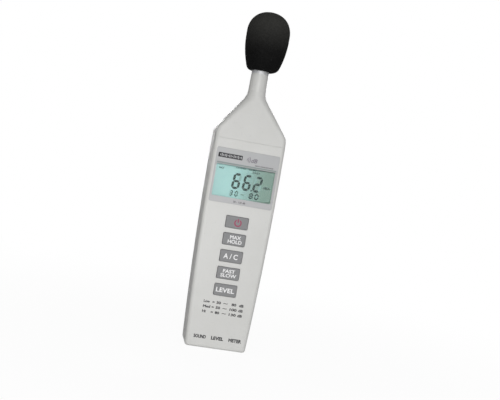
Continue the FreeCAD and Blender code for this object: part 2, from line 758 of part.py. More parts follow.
def lcd_frame():
    """A moulded frame that hugs the display and stands on the board."""
    start = frame_front()
    body = panel("frame_block", (-D.frame_half, D.frame_half), (start, BOARD_FRONT),
                 (D.frame_low, D.frame_high), D.frame_round)
    reach = D.window_half + D.sight_side
    sight = sketch_on(body, "XZ_Plane", start, "frame_sight")
    rounded_rectangle(sight, (-reach, reach), (D.window_low - D.sight_rise,
                      D.window_high + D.sight_rise), D.window_round)
    pocket(body, sight, D.frame_lip + OVERSHOOT, "frame_sight_cut")
    nest = sketch_on(body, "XZ_Plane", glass_front(), "frame_nest")
    rounded_rectangle(nest, (-D.glass_half, D.glass_half), (D.glass_low, D.glass_high),
                      D.glass_round)
    pocket(body, nest, BOARD_FRONT - glass_front() + OVERSHOOT, "frame_nest_cut")
    return node(body, "lcd_frame")


def contact_strip():
    """The conductive rubber strip between the display ledge and the board."""
    low = D.glass_low + D.strip_up
    start = glass_front() + D.glass_thick
    strip = block("strip", (-D.strip_half, D.strip_half), (start, BOARD_FRONT),
                  (low, low + D.strip_high))
    return node(strip, "contact_strip")


KEY_NAMES = ("key_power", "key_hold", "key_weighting", "key_response", "key_range")


def key_front():
    return FRONT - D.key_travel


def flange_front():
    return INNER_FRONT + D.fit_gap


def key(name, level):
    """A key cap with a retaining flange and a stem that reaches for its pad."""
    rise = D.key_high / 2
    body = panel(name + "_cap", (-D.key_half, D.key_half), (key_front(), flange_front() + OVERLAP),
                 (level - rise, level + rise), D.key_round)
    soften(body, D.key_edge, name + "_edge",
           lambda edge: edge.BoundBox.YMax < key_front().number + TINY)
    flange = sketch_on(body, "XZ_Plane", flange_front(), name + "_flange")
    reach = D.flange_high / 2
    rounded_rectangle(flange, (-D.flange_half, D.flange_half), (level - reach, level + reach),
                      D.flange_round)
    pad(body, flange, D.flange_thick, name + "_flange_pad", backward=True)
    stem = sketch_on(body, "XZ_Plane", flange_front() + D.flange_thick, name + "_stem")
    rounded_rectangle(stem, (-D.stem_half, D.stem_half),
                      (level - D.stem_rise, level + D.stem_rise), D.stem_round)
    pad(body, stem, D.stem_long, name + "_stem_pad", backward=True)
    return node(body, name)


def keypad_mat():
    """The silicone mat on the board with a round pad under each key."""
    front = BOARD_FRONT - D.mat_thick
    stem_end = flange_front() + D.flange_thick + D.stem_long
    body = panel("mat_sheet", (-D.mat_half, D.mat_half), (front, BOARD_FRONT),
                 (D.mat_low, D.mat_high), D.mat_round)
    pads = sketch_on(body, "XZ_Plane", front, "mat_pads")
    for level in key_levels():
        circle(pads, (0, level), D.pad_radius)
    pad(body, pads, front - stem_end - D.pad_rest_gap, "mat_pads_pad")
    return node(body, "keypad_mat")


# ---------------------------------------------------------------- board and its components

def circuit_board():
    """The single circuit board with its four screw holes."""
    body = panel("board_sheet", (-D.board_half, D.board_half), (BOARD_FRONT, BOARD_BACK),
                 (D.board_low, D.board_high), D.board_round)
    holes = sketch_on(body, "XZ_Plane", BOARD_BACK, "board_holes")
    for x, level in board_post_places():
        circle(holes, (x, level), D.board_hole)
    pocket(body, holes, D.board_thick + OVERSHOOT, "board_hole_cut", backward=True)
    return node(body, "circuit_board")


def on_board(name, x_span, z_span, high):
    """A component standing on the back of the board."""
    return block(name, x_span, (BOARD_BACK, BOARD_BACK + high), z_span)


CHIPS = (          # name, span along X, span along Z, height off the board
    ("processor", (-13, -1), (104, 116), 1.6),
    ("converter", (-16, -9), (122, 132), 1.5),
    ("amplifier_a", (-5, -1), (123, 128), 1.4),
    ("amplifier_b", (4, 8), (112, 117), 1.4),
)
CANS = (           # place along X, place along Z, radius, height off the board
    (12, 108, 2.5, 5.4), (17, 115, 2.0, 5.0), (-17, 110, 2.0, 5.0), (-17, 84, 2.5, 5.4),
)
CRYSTAL = ((2, 12.5), (99, 103.4), 3.4)
BUZZER = (-11.5, 93, 4.6, 4.2)
MIC_HEADER = ((-2.6, 2.6), 3.2)
BATTERY_HEADER = ((-3.4, 3.4), 3.6)


def board_chips():
    """The converter, the processor and two small amplifiers."""
    return node(group("chip_set", [on_board(*chip) for chip in CHIPS]), "board_chips")


def can(name, x, level, radius, high):
    """A round component standing on the back of the board."""
    return rod(name, "y", radius, (x, level), (BOARD_BACK, BOARD_BACK + high))


def board_capacitors():
    """Electrolytic cans standing on the back of the board."""
    cans = [can(f"can_{number}", *place) for number, place in enumerate(CANS)]
    return node(group("can_set", cans), "board_capacitors")


def board_crystal():
    """The crystal's flat metal can, lying on the board."""
    x_span, z_span, high = CRYSTAL
    body = panel("crystal_can", x_span, (BOARD_BACK, BOARD_BACK + high), z_span, D.crystal_round)
    return node(body, "board_crystal")


def board_buzzer():
    return node(can("sounder", *BUZZER), "board_buzzer")


def mic_header():
    """The small socket that takes the microphone lead."""
    x_span, high = MIC_HEADER
    return node(on_board("mic_socket", x_span, (D.mic_header_low, D.mic_header_top), high),
                "mic_header")


def battery_header():
    """The small socket that takes the two battery leads."""
    x_span, high = BATTERY_HEADER
    return node(on_board("battery_socket", x_span,
                         (D.battery_header_low, D.battery_header_top), high), "battery_header")


def trimmer_depth():
    """The trimmer's shaft stands this far behind the microphone axis plane."""
    return BOARD_BACK + D.trimmer_deep / 2


def trimmer_body():
    """The calibration trimmer's housing with the bearing for its screw."""
    housing = on_board("trimmer_housing", (D.trimmer_in, D.trimmer_out),
                       (D.trimmer_level - D.trimmer_high / 2,
                        D.trimmer_level + D.trimmer_high / 2), D.trimmer_deep)
    bore = rod("trimmer_bore", "x", D.rotor_radius + D.rotor_gap,
               (trimmer_depth(), D.trimmer_level),
               (D.trimmer_out - D.rotor_long / 2, D.trimmer_out + OVERSHOOT))
    return node(cut("trimmer_body_shape", housing, [bore]), "trimmer_body")


def trimmer_rotor():
    """The slotted screw that is turned through the hole in the case side."""
    start = D.trimmer_out - D.rotor_long / 2 + D.rotor_gap
    end = start + D.rotor_long
    shaft = rod("rotor_shaft", "x", D.rotor_radius, (trimmer_depth(), D.trimmer_level),
                (start, end))
    reach = D.rotor_radius + OVERLAP
    slot = block("rotor_slot", (end - D.rotor_slot_deep, end + OVERSHOOT),
                 (trimmer_depth() - D.rotor_slot_half, trimmer_depth() + D.rotor_slot_half),
                 (D.trimmer_level - reach, D.trimmer_level + reach))
    return node(cut("trimmer_rotor_shape", shaft, [slot]), "trimmer_rotor")


# ---------------------------------------------------------------- microphone and windscreen

def mic_barrel():
    """The metal barrel: a spigot in the neck, a bright collar and the capsule chamber."""
    body = turned("barrel", [
        (D.lead_bore, D.spigot_low), (D.spigot_radius, D.spigot_low),
        (D.spigot_radius, D.neck_top), (D.barrel_radius, D.neck_top),
        (D.barrel_radius, D.barrel_top), (D.barrel_bore, D.barrel_top),
        (D.barrel_bore, D.bore_floor), (D.lead_bore, D.bore_floor),
    ])
    return node(body, "mic_barrel")


def mic_sleeve():
    """The rubber sleeve that cushions the capsule in the barrel."""
    seat = D.capsule_radius - D.capsule_seat
    body = turned("sleeve", [
        (seat, D.sleeve_low), (D.barrel_bore, D.sleeve_low),
        (D.barrel_bore, D.sleeve_high), (D.capsule_radius, D.sleeve_high),
        (D.capsule_radius, D.capsule_low), (seat, D.capsule_low),
    ])
    return node(body, "mic_sleeve")


def mic_capsule():
    """The electret capsule with the ring round its front."""
    top = D.capsule_low + D.capsule_long
    rim = D.capsule_radius - D.capsule_rim
    dish = top - D.capsule_dish
    body = turned("capsule", [
        (0, D.capsule_low), (D.capsule_radius, D.capsule_low), (D.capsule_radius, top),
        (rim, top), (rim, dish), (0, dish),
    ])
    return node(body, "mic_capsule")


GRID_HOLES = 8


def mic_grid():
    """The protective grid that caps the barrel, with a ring of sound holes."""
    skirt = D.barrel_bore - D.grid_wall
    ceiling = D.barrel_top + D.grid_inner
    body = turned("grid", [
        (0, ceiling), (skirt, ceiling), (skirt, D.barrel_top - D.grid_skirt),
        (D.barrel_bore, D.barrel_top - D.grid_skirt), (D.barrel_bore, D.barrel_top),
        (D.barrel_radius, D.barrel_top), (D.barrel_radius, D.grid_top - D.grid_edge),
        (D.barrel_radius - D.grid_edge, D.grid_top), (0, D.grid_top),
    ])
    through = (D.barrel_top, D.grid_top + OVERSHOOT)
    holes = [rod("grid_hole_middle", "z", D.grid_hole, (0, 0), through)]
    for number in range(GRID_HOLES):
        angle = 2 * math.pi * number / GRID_HOLES
        centre = (D.grid_ring * math.cos(angle), D.grid_ring * math.sin(angle))
        holes.append(rod(f"grid_hole_{number}", "z", D.grid_hole, centre, through))
    return node(cut("grid_shape", body, holes), "mic_grid")


START_LEAN = 21.0  # first guesses, which the tangent constraints of the profile settle
START_FOOT = 6.6


def windscreen():
    """The foam windscreen: an egg with a flat foot and a socket for the barrel."""
    body = new_body("foam")
    sketch = sketch_on(body, "XZ_Plane", 0, "foam_profile")
    low, top = D.foam_low, D.foam_low + D.foam_long
    side_centre = (D.foam_radius - D.foam_side, low + D.foam_side_high)
    dome_centre = (0, top - D.foam_radius)
    corner_centre = (START_FOOT, low + D.foam_corner)
    foot = line(sketch, (D.foam_bore, low), (START_FOOT, low))
    corner = arc(sketch, corner_centre, D.foam_corner, 270, 360 - START_LEAN)
    side = arc(sketch, side_centre, D.foam_side, -START_LEAN, 0)
    belt = line(sketch, (D.foam_radius, low + D.foam_side_high), (D.foam_radius, dome_centre[1]))
    dome = arc(sketch, dome_centre, D.foam_radius, 0, 90)
    axis = line(sketch, (0, top), (0, low + D.foam_socket))
    roof = line(sketch, (0, low + D.foam_socket), (D.foam_bore, low + D.foam_socket))
    wall = line(sketch, (D.foam_bore, low + D.foam_socket), (D.foam_bore, low))
    for first, second in ((foot, corner), (corner, side), (side, belt), (belt, dome)):
        join(sketch, "Tangent", first, 2, second, 1)
    for first, second in ((dome, axis), (axis, roof), (roof, wall), (wall, foot)):
        join(sketch, "Coincident", first, 2, second, 1)
    for flat in (foot, roof):
        join(sketch, "Horizontal", flat)
    for upright in (belt, axis, wall):
        join(sketch, "Vertical", upright)
    hold(sketch, "DistanceX", D.foam_bore, -1, 1, foot, 1)
    hold(sketch, "DistanceY", low, -1, 1, foot, 1)
    hold(sketch, "Radius", D.foam_corner, corner)
    hold(sketch, "Radius", D.foam_side, side)
    hold(sketch, "DistanceX", D.foam_radius, -1, 1, belt, 1)
    hold(sketch, "DistanceY", low + D.foam_side_high, -1, 1, belt, 1)
    join(sketch, "PointOnObject", dome, 3, -2)
    hold(sketch, "DistanceX", 0, -1, 1, axis, 1)
    hold(sketch, "DistanceY", top, -1, 1, dome, 2)
    hold(sketch, "DistanceY", low + D.foam_socket, -1, 1, roof, 1)
    revolve(body, sketch, "foam_turn")
    return node(body, "windscreen")


# ---------------------------------------------------------------- battery and door

def battery():
    """A nine-volt block battery without its two snaps."""
    body = new_body("battery_block")
    base = sketch_on(body, "XY_Plane", D.battery_low, "battery_outline")
    front = D.battery_back - D.battery_thick
    rounded_rectangle(base, (-D.battery_half, D.battery_half), (front, D.battery_back),
                      D.battery_round)
    pad(body, base, D.battery_long, "battery_block_pad")
    return node(body, "battery")


def battery_middle():
    return D.battery_back - D.battery_thick / 2


def snap_places():
    """Sideways place and radius of the male and the female snap."""
    return ((-D.snap_pitch / 2, D.male_snap), (D.snap_pitch / 2, D.female_snap))


def battery_top():
    return D.battery_low + D.battery_long


def connector_foot():
    return battery_top() + D.snap_cap_lift


def battery_snaps():
    """The two metal snaps on the battery's end."""
    snaps = [rod(f"snap_{number}", "z", radius, (x, battery_middle()),
                 (battery_top(), battery_top() + D.snap_high))
             for number, (x, radius) in enumerate(snap_places())]
    return node(group("snap_set", snaps), "battery_snaps")


def snap_connector():
    """The moulded cap that snaps on to the battery."""
    body = new_body("connector_block")
    base = sketch_on(body, "XY_Plane", connector_foot(), "connector_outline")
    middle = battery_middle()
    reach = D.battery_half - D.snap_cap_inset
    rounded_rectangle(base, (-reach, reach), (middle - D.snap_cap_half,
                      middle + D.snap_cap_half), D.snap_cap_round)
    pad(body, base, D.snap_cap_thick, "connector_pad")
    sockets = [rod(f"snap_socket_{number}", "z", radius + D.snap_gap, (x, middle),
                   (battery_top(), battery_top() + D.snap_high + D.fit_gap))
               for number, (x, radius) in enumerate(snap_places())]
    return node(cut("snap_connector_shape", body, sockets), "snap_connector")


GRIP_RIDGES = 5


def battery_door():
    """The back door with grip grooves, two hook tabs at its foot and a latch at its top."""
    body = panel("door_plate", (-D.door_half, D.door_half), (INNER_BACK, BACK),
                 (D.door_low, D.door_high), D.door_round)
    grooves = sketch_on(body, "XZ_Plane", BACK, "door_grip")
    for number in range(GRIP_RIDGES):
        level = D.door_high - D.grip_down - D.grip_pitch * number
        rectangle(grooves, (-D.grip_half, D.grip_half),
                  (level - D.grip_wide / 2, level + D.grip_wide / 2))
    pocket(body, grooves, D.grip_deep, "door_grip_cut", backward=True)
    pieces = [body]
    for side in SIDES:
        middle = side * D.tab_offset
        span = (middle - D.tab_half, middle + D.tab_half)
        tab_back = INNER_BACK - D.tab_gap
        pieces.append(block(f"door_tab_{side + 1}", span, (tab_back - D.tab_thick, tab_back),
                            (D.door_low - D.tab_long, D.door_low + D.tab_up)))
        pieces.append(block(f"door_tab_root_{side + 1}", span,
                            (INNER_BACK - D.tab_join, INNER_BACK + D.tab_join),
                            (D.door_low + D.tab_root_up, D.door_low + D.tab_up)))
    pieces.append(block("door_latch", (-D.latch_half, D.latch_half),
                        (INNER_BACK - D.latch_deep, INNER_BACK + D.tab_join),
                        (D.door_high - D.latch_high, D.door_high)))
    return node(fuse("battery_door_shape", pieces), "battery_door")


def battery_pad():
    """The foam strip on the door that keeps the battery from rattling."""
    strip = block("pad_strip", (-D.foam_pad_half, D.foam_pad_half),
                  (INNER_BACK - D.foam_pad_thick, INNER_BACK), (D.foam_pad_low, D.foam_pad_high))
    return node(strip, "battery_pad")


def tripod_insert():
    """The brass socket in the back for a camera stand."""
    body = new_body("insert_body")
    ring = sketch_on(body, "XZ_Plane", BACK - D.tripod_long, "insert_ring")
    circle(ring, (0, D.tripod_level), D.tripod_outer)
    circle(ring, (0, D.tripod_level), D.tripod_bore)
    pad(body, ring, D.tripod_long, "insert_pad", backward=True)
    return node(body, "tripod_insert")


# ---------------------------------------------------------------- wires

RUN_SHARE = 0.45   # a bend takes this share of the shorter run beside it


def wire(label, points, radius):
    """A round wire along straight runs joined by tangent arcs."""
    places = [VECTOR(*(size(value).number for value in point)) for point in points]
    edges = []
    start = places[0]
    for before, corner, after in zip(places, places[1:], places[2:]):
        into, away = (corner - before).normalize(), (after - corner).normalize()
        half_turn = into.getAngle(away) / 2
        run = RUN_SHARE * min((corner - before).Length, (after - corner).Length)
        first, last = corner - into * run, corner + away * run
        middle = corner + (away - into).normalize() * (run * math.tan(half_turn / 2))
        edges += [Part.LineSegment(start, first).toShape(),
                  Part.Arc(first, middle, last).toShape()]
        start = last
    edges.append(Part.LineSegment(start, places[-1]).toShape())
    path = Part.Wire(edges)
    along = (places[1] - places[0]).normalize()
    section = Part.Wire(Part.Circle(places[0], along, size(radius).number).toShape())
    tube = path.makePipeShell([section], True, False)
    expected = math.pi * size(radius).number ** 2 * path.Length
    if abs(tube.Volume / expected - 1) > TINY:
        raise RuntimeError(f"{label} sweep is not a plain tube")
    feature = DOCUMENT.addObject("Part::Feature", label + "_shape")
    feature.Shape = tube
    return node(feature, label)


def mic_lead():
    """The screened lead from the capsule down the neck to the board."""
    beside = BOARD_BACK + D.mic_lead_radius + D.mic_lead_lift
    return wire("mic_lead", [(0, 0, D.capsule_low), (0, 0, D.mic_lead_straight),
                             (0, beside, D.mic_lead_down), (0, beside, D.mic_header_top)],
                D.mic_lead_radius)


def battery_leads():
    """A red and a black lead from the snap connector to the board."""
    start = connector_foot() + D.snap_cap_thick
    plug = BOARD_BACK + D.plug_lift
    for side, label in zip(SIDES, ("battery_lead_black", "battery_lead_red")):
        apart, near = side * D.lead_part, side * D.lead_near
        wire(label, [(apart, battery_middle(), start), (apart, battery_middle(), D.lead_rise),
                     (near, plug, D.lead_turn), (near, plug, D.battery_header_low)],
             D.battery_lead_radius)


# ---------------------------------------------------------------- the assembly

def build():
    fill_sheet()
    form = outer_case()
    hollow = case_cavity()
    groove = seam_groove(form)
    front_case(form, hollow, groove)
    rear_case(form, hollow, groove)
    for make in (display_label, lcd_window, lcd_front_glass, lcd_rear_glass, lcd_frame,
                 contact_strip, keypad_mat, circuit_board, board_chips, board_capacitors,
                 board_crystal, board_buzzer, mic_header, battery_header, trimmer_body,
                 trimmer_rotor, mic_barrel, mic_sleeve, mic_capsule, mic_grid, windscreen,
                 battery, battery_snaps, snap_connector, battery_door, battery_pad,
                 tripod_insert, case_screws, board_screws, mic_lead, battery_leads):
        make()
    for name, level in zip(KEY_NAMES, key_levels()):
        key(name, level)
    DOCUMENT.recompute()


def check():
    """Stop before writing if any object failed or any piece is not a sound solid."""
    for item in DOCUMENT.Objects:
        if "Invalid" in item.State or "Error" in item.State:
            raise RuntimeError(f"{item.Label} failed to recompute")
    for piece in NODES:
        if piece.Shape.isNull() or not piece.Shape.isValid() or not piece.Shape.Solids:
            raise RuntimeError(f"{piece.Label} is not a valid solid")


def write():
    os.makedirs("parts", exist_ok=True)
    for piece in NODES:
        piece.Shape.exportStep(f"parts/{piece.Label}.step")
        box = piece.Shape.BoundBox
        print(f"{piece.Label:20s} solids {len(piece.Shape.Solids)} volume {piece.Shape.Volume:9.1f}"
              f" x {box.XMin:7.2f} {box.XMax:7.2f} y {box.YMin:7.2f} {box.YMax:7.2f}"
              f" z {box.ZMin:7.2f} {box.ZMax:7.2f}")


build()
check()
write()
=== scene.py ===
"""The looks of a hand-held sound level meter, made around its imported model.

Metres, in the model's own frame: +Z runs up the meter, the front panel faces -Y
and +X is to the right of somebody reading the display.
"""
import math
import bmesh
import bpy
from mathutils import Matrix, Vector, noise

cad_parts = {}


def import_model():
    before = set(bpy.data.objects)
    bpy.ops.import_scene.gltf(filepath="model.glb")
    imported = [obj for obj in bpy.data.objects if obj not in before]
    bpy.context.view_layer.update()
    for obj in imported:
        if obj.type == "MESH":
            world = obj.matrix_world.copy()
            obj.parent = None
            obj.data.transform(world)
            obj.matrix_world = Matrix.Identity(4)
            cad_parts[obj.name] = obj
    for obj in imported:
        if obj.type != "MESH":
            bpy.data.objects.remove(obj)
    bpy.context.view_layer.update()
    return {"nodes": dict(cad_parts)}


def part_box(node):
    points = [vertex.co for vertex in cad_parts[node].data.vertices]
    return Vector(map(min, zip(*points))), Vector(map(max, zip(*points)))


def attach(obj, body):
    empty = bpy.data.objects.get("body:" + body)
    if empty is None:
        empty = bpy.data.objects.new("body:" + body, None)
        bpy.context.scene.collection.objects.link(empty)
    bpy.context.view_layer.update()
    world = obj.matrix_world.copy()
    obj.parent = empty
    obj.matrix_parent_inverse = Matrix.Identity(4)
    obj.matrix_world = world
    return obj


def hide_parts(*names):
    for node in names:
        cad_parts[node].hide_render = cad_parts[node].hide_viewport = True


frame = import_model()
NODES = frame["nodes"]
MM = 0.001
PI = math.pi
INK_THICK = 0.05 * MM
INK_PROUD = 0.4 * INK_THICK             # how far the middle of a print stands before its surface
CASE_INK_PROUD = 0.3 * INK_THICK        # the same on the case and the battery


# ---------------------------------------------------------------- colours and node helpers

def tone(red, green=None, blue=None):
    """A display colour, 0 to 255, as the linear colour a shader takes. One number is a grey."""
    levels = (red, red, red) if green is None else (red, green, blue)
    return (*((level / 255 / 12.92) if level <= 10 else ((level / 255 + 0.055) / 1.055) ** 2.4
              for level in levels), 1.0)


class Finish:
    """One material: its Principled shader, with the piece's own coordinates in metres."""

    def __init__(self, name, **settings):
        self.material = bpy.data.materials.new(name + "_look")
        self.material.use_nodes = True
        self.nodes = self.material.node_tree.nodes
        self.links = self.material.node_tree.links
        self.shader = self.nodes["Principled BSDF"]
        self.output = self.nodes["Material Output"]
        self.place = self.nodes.new("ShaderNodeTexCoord").outputs["Object"]
        for words, value in settings.items():
            self.shader.inputs[words.replace("_", " ")].default_value = value

    def add(self, kind, inputs, **properties):
        """A new node with its inputs set to values or fed by sockets; returns its outputs."""
        made = self.nodes.new("ShaderNode" + kind)
        for name, value in properties.items():
            setattr(made, name, value)
        for name, value in inputs.items():
            if isinstance(value, bpy.types.NodeSocket):
                self.links.new(value, made.inputs[name])
            else:
                made.inputs[name].default_value = value
        return made.outputs

    def stretched(self, scale):
        """The piece's coordinates, scaled by a different amount along each axis."""
        return self.add("Mapping", {"Vector": self.place, "Scale": scale})["Vector"]

    def axis(self, letter):
        """One of the piece's coordinates."""
        return self.add("SeparateXYZ", {"Vector": self.place})[letter]

    def noise(self, feature, detail=2.0, where=None):
        """Soft noise from 0 to 1 with features about this many metres across."""
        return self.add("TexNoise", {"Vector": where or self.place, "Scale": 1 / feature,
                                     "Detail": detail})["Fac"]

    def cells(self, feature):
        """The distance from the middle of the nearest cell, for cells of this size."""
        return self.add("TexVoronoi", {"Vector": self.place, "Scale": 1 / feature})["Distance"]

    def calc(self, operation, first, second=0.0):
        """The result of a sum, product or other operation on one or two numbers."""
        return self.add("Math", {0: first, 1: second}, operation=operation)["Value"]

    def window(self, value, low, high, first=0.0, last=1.0):
        """Maps low to high onto first to last, smoothly, and holds it outside."""
        return self.add("MapRange", {"Value": value, "From Min": low, "From Max": high,
                                     "To Min": first, "To Max": last},
                        interpolation_type="SMOOTHSTEP")["Result"]

    def blend(self, amount, first, second):
        """The first colour where the amount is 0 and the second where it is 1."""
        return self.add("Mix", {0: amount, 6: first, 7: second}, data_type="RGBA")[2]

    def rounded(self, radius):
        """The surface normal with its sharp edges eased over this radius."""
        return self.add("Bevel", {"Radius": radius}, samples=6)["Normal"]

    def edges(self, radius):
        """1 on sharp outer edges and 0 on open surfaces."""
        true = self.add("NewGeometry", {})["Normal"]
        match = self.add("VectorMath", {0: self.rounded(radius), 1: true},
                         operation="DOT_PRODUCT")["Value"]
        return self.window(match, 0.995, 0.80)

    def relief(self, height, depth, under=None, strength=1.0):
        """Bumps of this depth in metres where height is 1."""
        inputs = {"Height": height, "Distance": depth, "Strength": strength}
        if under is not None:
            inputs["Normal"] = under
        return self.add("Bump", inputs)["Normal"]

    def feed(self, **sockets):
        """Links sockets to the shader's inputs and returns the finished material."""
        for words, socket in sockets.items():
            self.links.new(socket, self.shader.inputs[words.replace("_", " ")])
        return self.material


# ---------------------------------------------------------------- finishes of the outside

LABEL_PAINTED_SHADE = (118 * MM, 142 * MM)      # heights over which painted shade darkens the label a little towards its top
DISPLAY_PAINTED_REFLECTION = (-14 * MM, 21 * MM)     # places in X over which the painted reflection on the display fades to its darker tone
PAINTED_LIGHT_RISE = (218 * MM, 246 * MM)        # heights over which painted light from above grows on the windscreen's crown


def case_plastic():
    """Light grey moulded ABS: fine spark grain, faint mottling, handled edges."""
    made = Finish("case_plastic", Specular_IOR_Level=0.42)
    mottled = made.blend(made.noise(18 * MM, 3), tone(188, 188, 185), tone(196, 196, 194))
    speck = made.window(made.noise(0.9 * MM, 4), 0.62, 0.78)
    specked = made.blend(speck, mottled, tone(176, 176, 172))
    edge = made.edges(0.35 * MM)
    colour = made.blend(made.calc("MULTIPLY", edge, 0.35), specked, tone(204, 204, 203))
    rub = made.noise(7 * MM, 4, made.stretched((1, 1, 0.35)))
    shine = made.calc("SUBTRACT", made.window(rub, 0.3, 0.75, 0.38, 0.52),
                      made.calc("MULTIPLY", edge, 0.12))
    grain = made.relief(made.noise(0.42 * MM, 3), 0.022 * MM, made.rounded(0.12 * MM), 0.5)
    return made.feed(Base_Color=colour, Roughness=shine, Normal=grain)


def label_film():
    """The printed polycarbonate overlay round the display, a little darker than the case, with painted
    shade towards its top.
    """
    made = Finish("label_film", Coat_Weight=0.12, Coat_Roughness=0.3)
    colour = made.blend(made.noise(11 * MM, 2), tone(161, 161, 163), tone(166, 166, 167))
    # painted shade: the label is darkened towards its top
    colour = made.blend(made.window(made.axis("Z"), *LABEL_PAINTED_SHADE), colour, tone(158, 159, 160))
    colour = made.blend(made.edges(0.3 * MM), colour, tone(140, 140, 143))
    shine = made.window(made.noise(5 * MM, 4), 0.3, 0.7, 0.36, 0.46)
    grain = made.relief(made.noise(0.22 * MM, 2), 0.008 * MM, None, 0.5)
    return made.feed(Base_Color=colour, Roughness=shine, Normal=grain)


def clear_window():
    """The clear acrylic lens, coated against glare. Lamps reach what is behind it."""
    made = Finish("clear_window", Base_Color=tone(252, 253, 252), IOR=1.2, Transmission_Weight=1.0)
    smear = made.window(made.noise(9 * MM, 4, made.stretched((1, 1, 0.5))), 0.5, 0.75, 0.02, 0.06)
    made.feed(Roughness=smear)
    lamp = made.add("LightPath", {})["Is Shadow Ray"]
    clear = made.add("BsdfTransparent", {})["BSDF"]
    mixed = made.add("MixShader", {0: lamp, 1: made.shader.outputs["BSDF"], 2: clear})["Shader"]
    made.links.new(mixed, made.output.inputs["Surface"])
    return made.material


def display_glass():
    """The liquid crystal cell, with a painted reflection: pale blue-green on the left that falls to
    grey-green on the right.
    """
    made = Finish("display_glass", Specular_IOR_Level=0.4)
    # painted reflection: the cell is lighter on the left and falls to a darker tone on the right
    across = made.window(made.axis("X"), *DISPLAY_PAINTED_REFLECTION)
    wander = made.calc("MULTIPLY", made.calc("SUBTRACT", made.noise(9 * MM, 2), 0.5), 0.25)
    share = made.window(made.calc("ADD", across, wander), 0.0, 1.0)
    colour = made.blend(share, tone(134, 170, 168), tone(99, 123, 114))
    fibre = made.noise(0.25 * MM, 3, made.stretched((1, 1, 0.4)))
    colour = made.blend(made.window(fibre, 0.45, 0.75, 0.0, 0.16), colour, tone(98, 126, 119))
    grain = made.relief(made.noise(0.12 * MM, 2), 0.002 * MM, None, 0.4)
    shine = made.window(made.noise(6 * MM, 2), 0.3, 0.7, 0.55, 0.64)
    return made.feed(Base_Color=colour, Roughness=shine, Normal=grain)


def key_grey():
    """Moulded silicone rubber keys: mid grey, matt, with a paler rubbed crown and painted shade on
    their edges.
    """
    made = Finish("key_grey", Specular_IOR_Level=0.3, Sheen_Weight=0.15, Sheen_Roughness=0.5)
    colour = made.blend(made.noise(4 * MM, 3), tone(120, 121, 122), tone(129, 129, 130))
    # painted shade: the keys' edges are darkened as if by the shade in the gaps round them
    colour = made.blend(made.edges(0.5 * MM), colour, tone(96, 97, 99))
    dust = made.window(made.noise(0.5 * MM, 4), 0.66, 0.8, 0.0, 0.35)
    colour = made.blend(dust, colour, tone(150, 150, 150))
    shine = made.window(made.noise(3 * MM, 3), 0.3, 0.7, 0.52, 0.66)
    grain = made.relief(made.noise(0.3 * MM, 3), 0.02 * MM, None, 0.5)
    return made.feed(Base_Color=colour, Roughness=shine, Normal=grain)


def foam_black():
    """Open-cell polyurethane foam: near black, with painted light on its crown."""
    made = Finish("foam_black", Roughness=0.7, Specular_IOR_Level=0.05)
    pore = made.cells(0.75 * MM)
    wall = made.window(pore, 0.15, 0.75)
    colour = made.blend(wall, tone(9, 9, 9), tone(19, 19, 19))
    worn = made.window(made.noise(6 * MM, 3), 0.4, 0.8, 0.0, 0.5)
    colour = made.blend(worn, colour, tone(24, 24, 23))
    # painted light: the foam's crown is lightened as if lit from above
    painted_top_light = made.calc("MULTIPLY", made.window(made.axis("Z"), *PAINTED_LIGHT_RISE),
                        made.window(pore, 0.05, 0.6, 0.55, 0.9))
    colour = made.blend(painted_top_light, colour, tone(53, 53, 51))
    fine = made.relief(made.cells(0.32 * MM), 0.10 * MM, None, 0.6)
    rough = made.relief(wall, 0.22 * MM, fine, 0.7)
    return made.feed(Base_Color=colour, Normal=rough)


# ---------------------------------------------------------------- finishes of the inside

STRIP_PITCH = 0.5 * MM                  # one black and one pink layer of the contact strip
BAND_SHARE = 0.70                       # where the battery's band begins, as a share of its height
CRIMP_HIGH = 1.6 * MM                   # the bare rim at the battery's top


def moulded(name, dark, pale, shine=(0.35, 0.5), grain_size=0.4, grain_depth=0.012, **settings):
    """A moulded plastic or rubber: two close tones, eased pale edges and a fine grain."""
    made = Finish(name, **settings)
    colour = made.blend(made.noise(5 * MM, 3), dark, pale)
    lifted = made.calc("MULTIPLY", made.edges(0.25 * MM), 0.3)
    paler = tuple(min(1.0, 1.5 * level + 0.02) for level in pale[:3]) + (1,)
    colour = made.blend(lifted, colour, paler)
    gloss = made.window(made.noise(3 * MM, 3), 0.3, 0.7, *shine)
    grain = made.relief(made.noise(grain_size * MM, 3), grain_depth * MM, made.rounded(0.1 * MM), 0.5)
    return made.feed(Base_Color=colour, Roughness=gloss, Normal=grain)


def metal(name, dark, pale, shine=(0.22, 0.36), lay=(1, 1, 12), metallic=1.0):
    """A turned or drawn metal: fine lines along its lay, stains and bright edges."""
    made = Finish(name, Metallic=metallic)
    lines = made.noise(1.6 * MM, 5, made.stretched(lay))
    colour = made.blend(made.window(lines, 0.3, 0.7), dark, pale)
    stain = made.window(made.noise(4 * MM, 4), 0.55, 0.75, 0.0, 0.45)
    colour = made.blend(stain, colour, tuple(0.6 * level for level in dark[:3]) + (1,))
    gloss = made.calc("ADD", made.window(lines, 0.3, 0.7, *shine), made.calc("MULTIPLY", stain, 0.2))
    grain = made.relief(lines, 0.01 * MM, made.rounded(0.08 * MM), 0.5)
    return made.feed(Base_Color=colour, Roughness=gloss, Normal=grain)


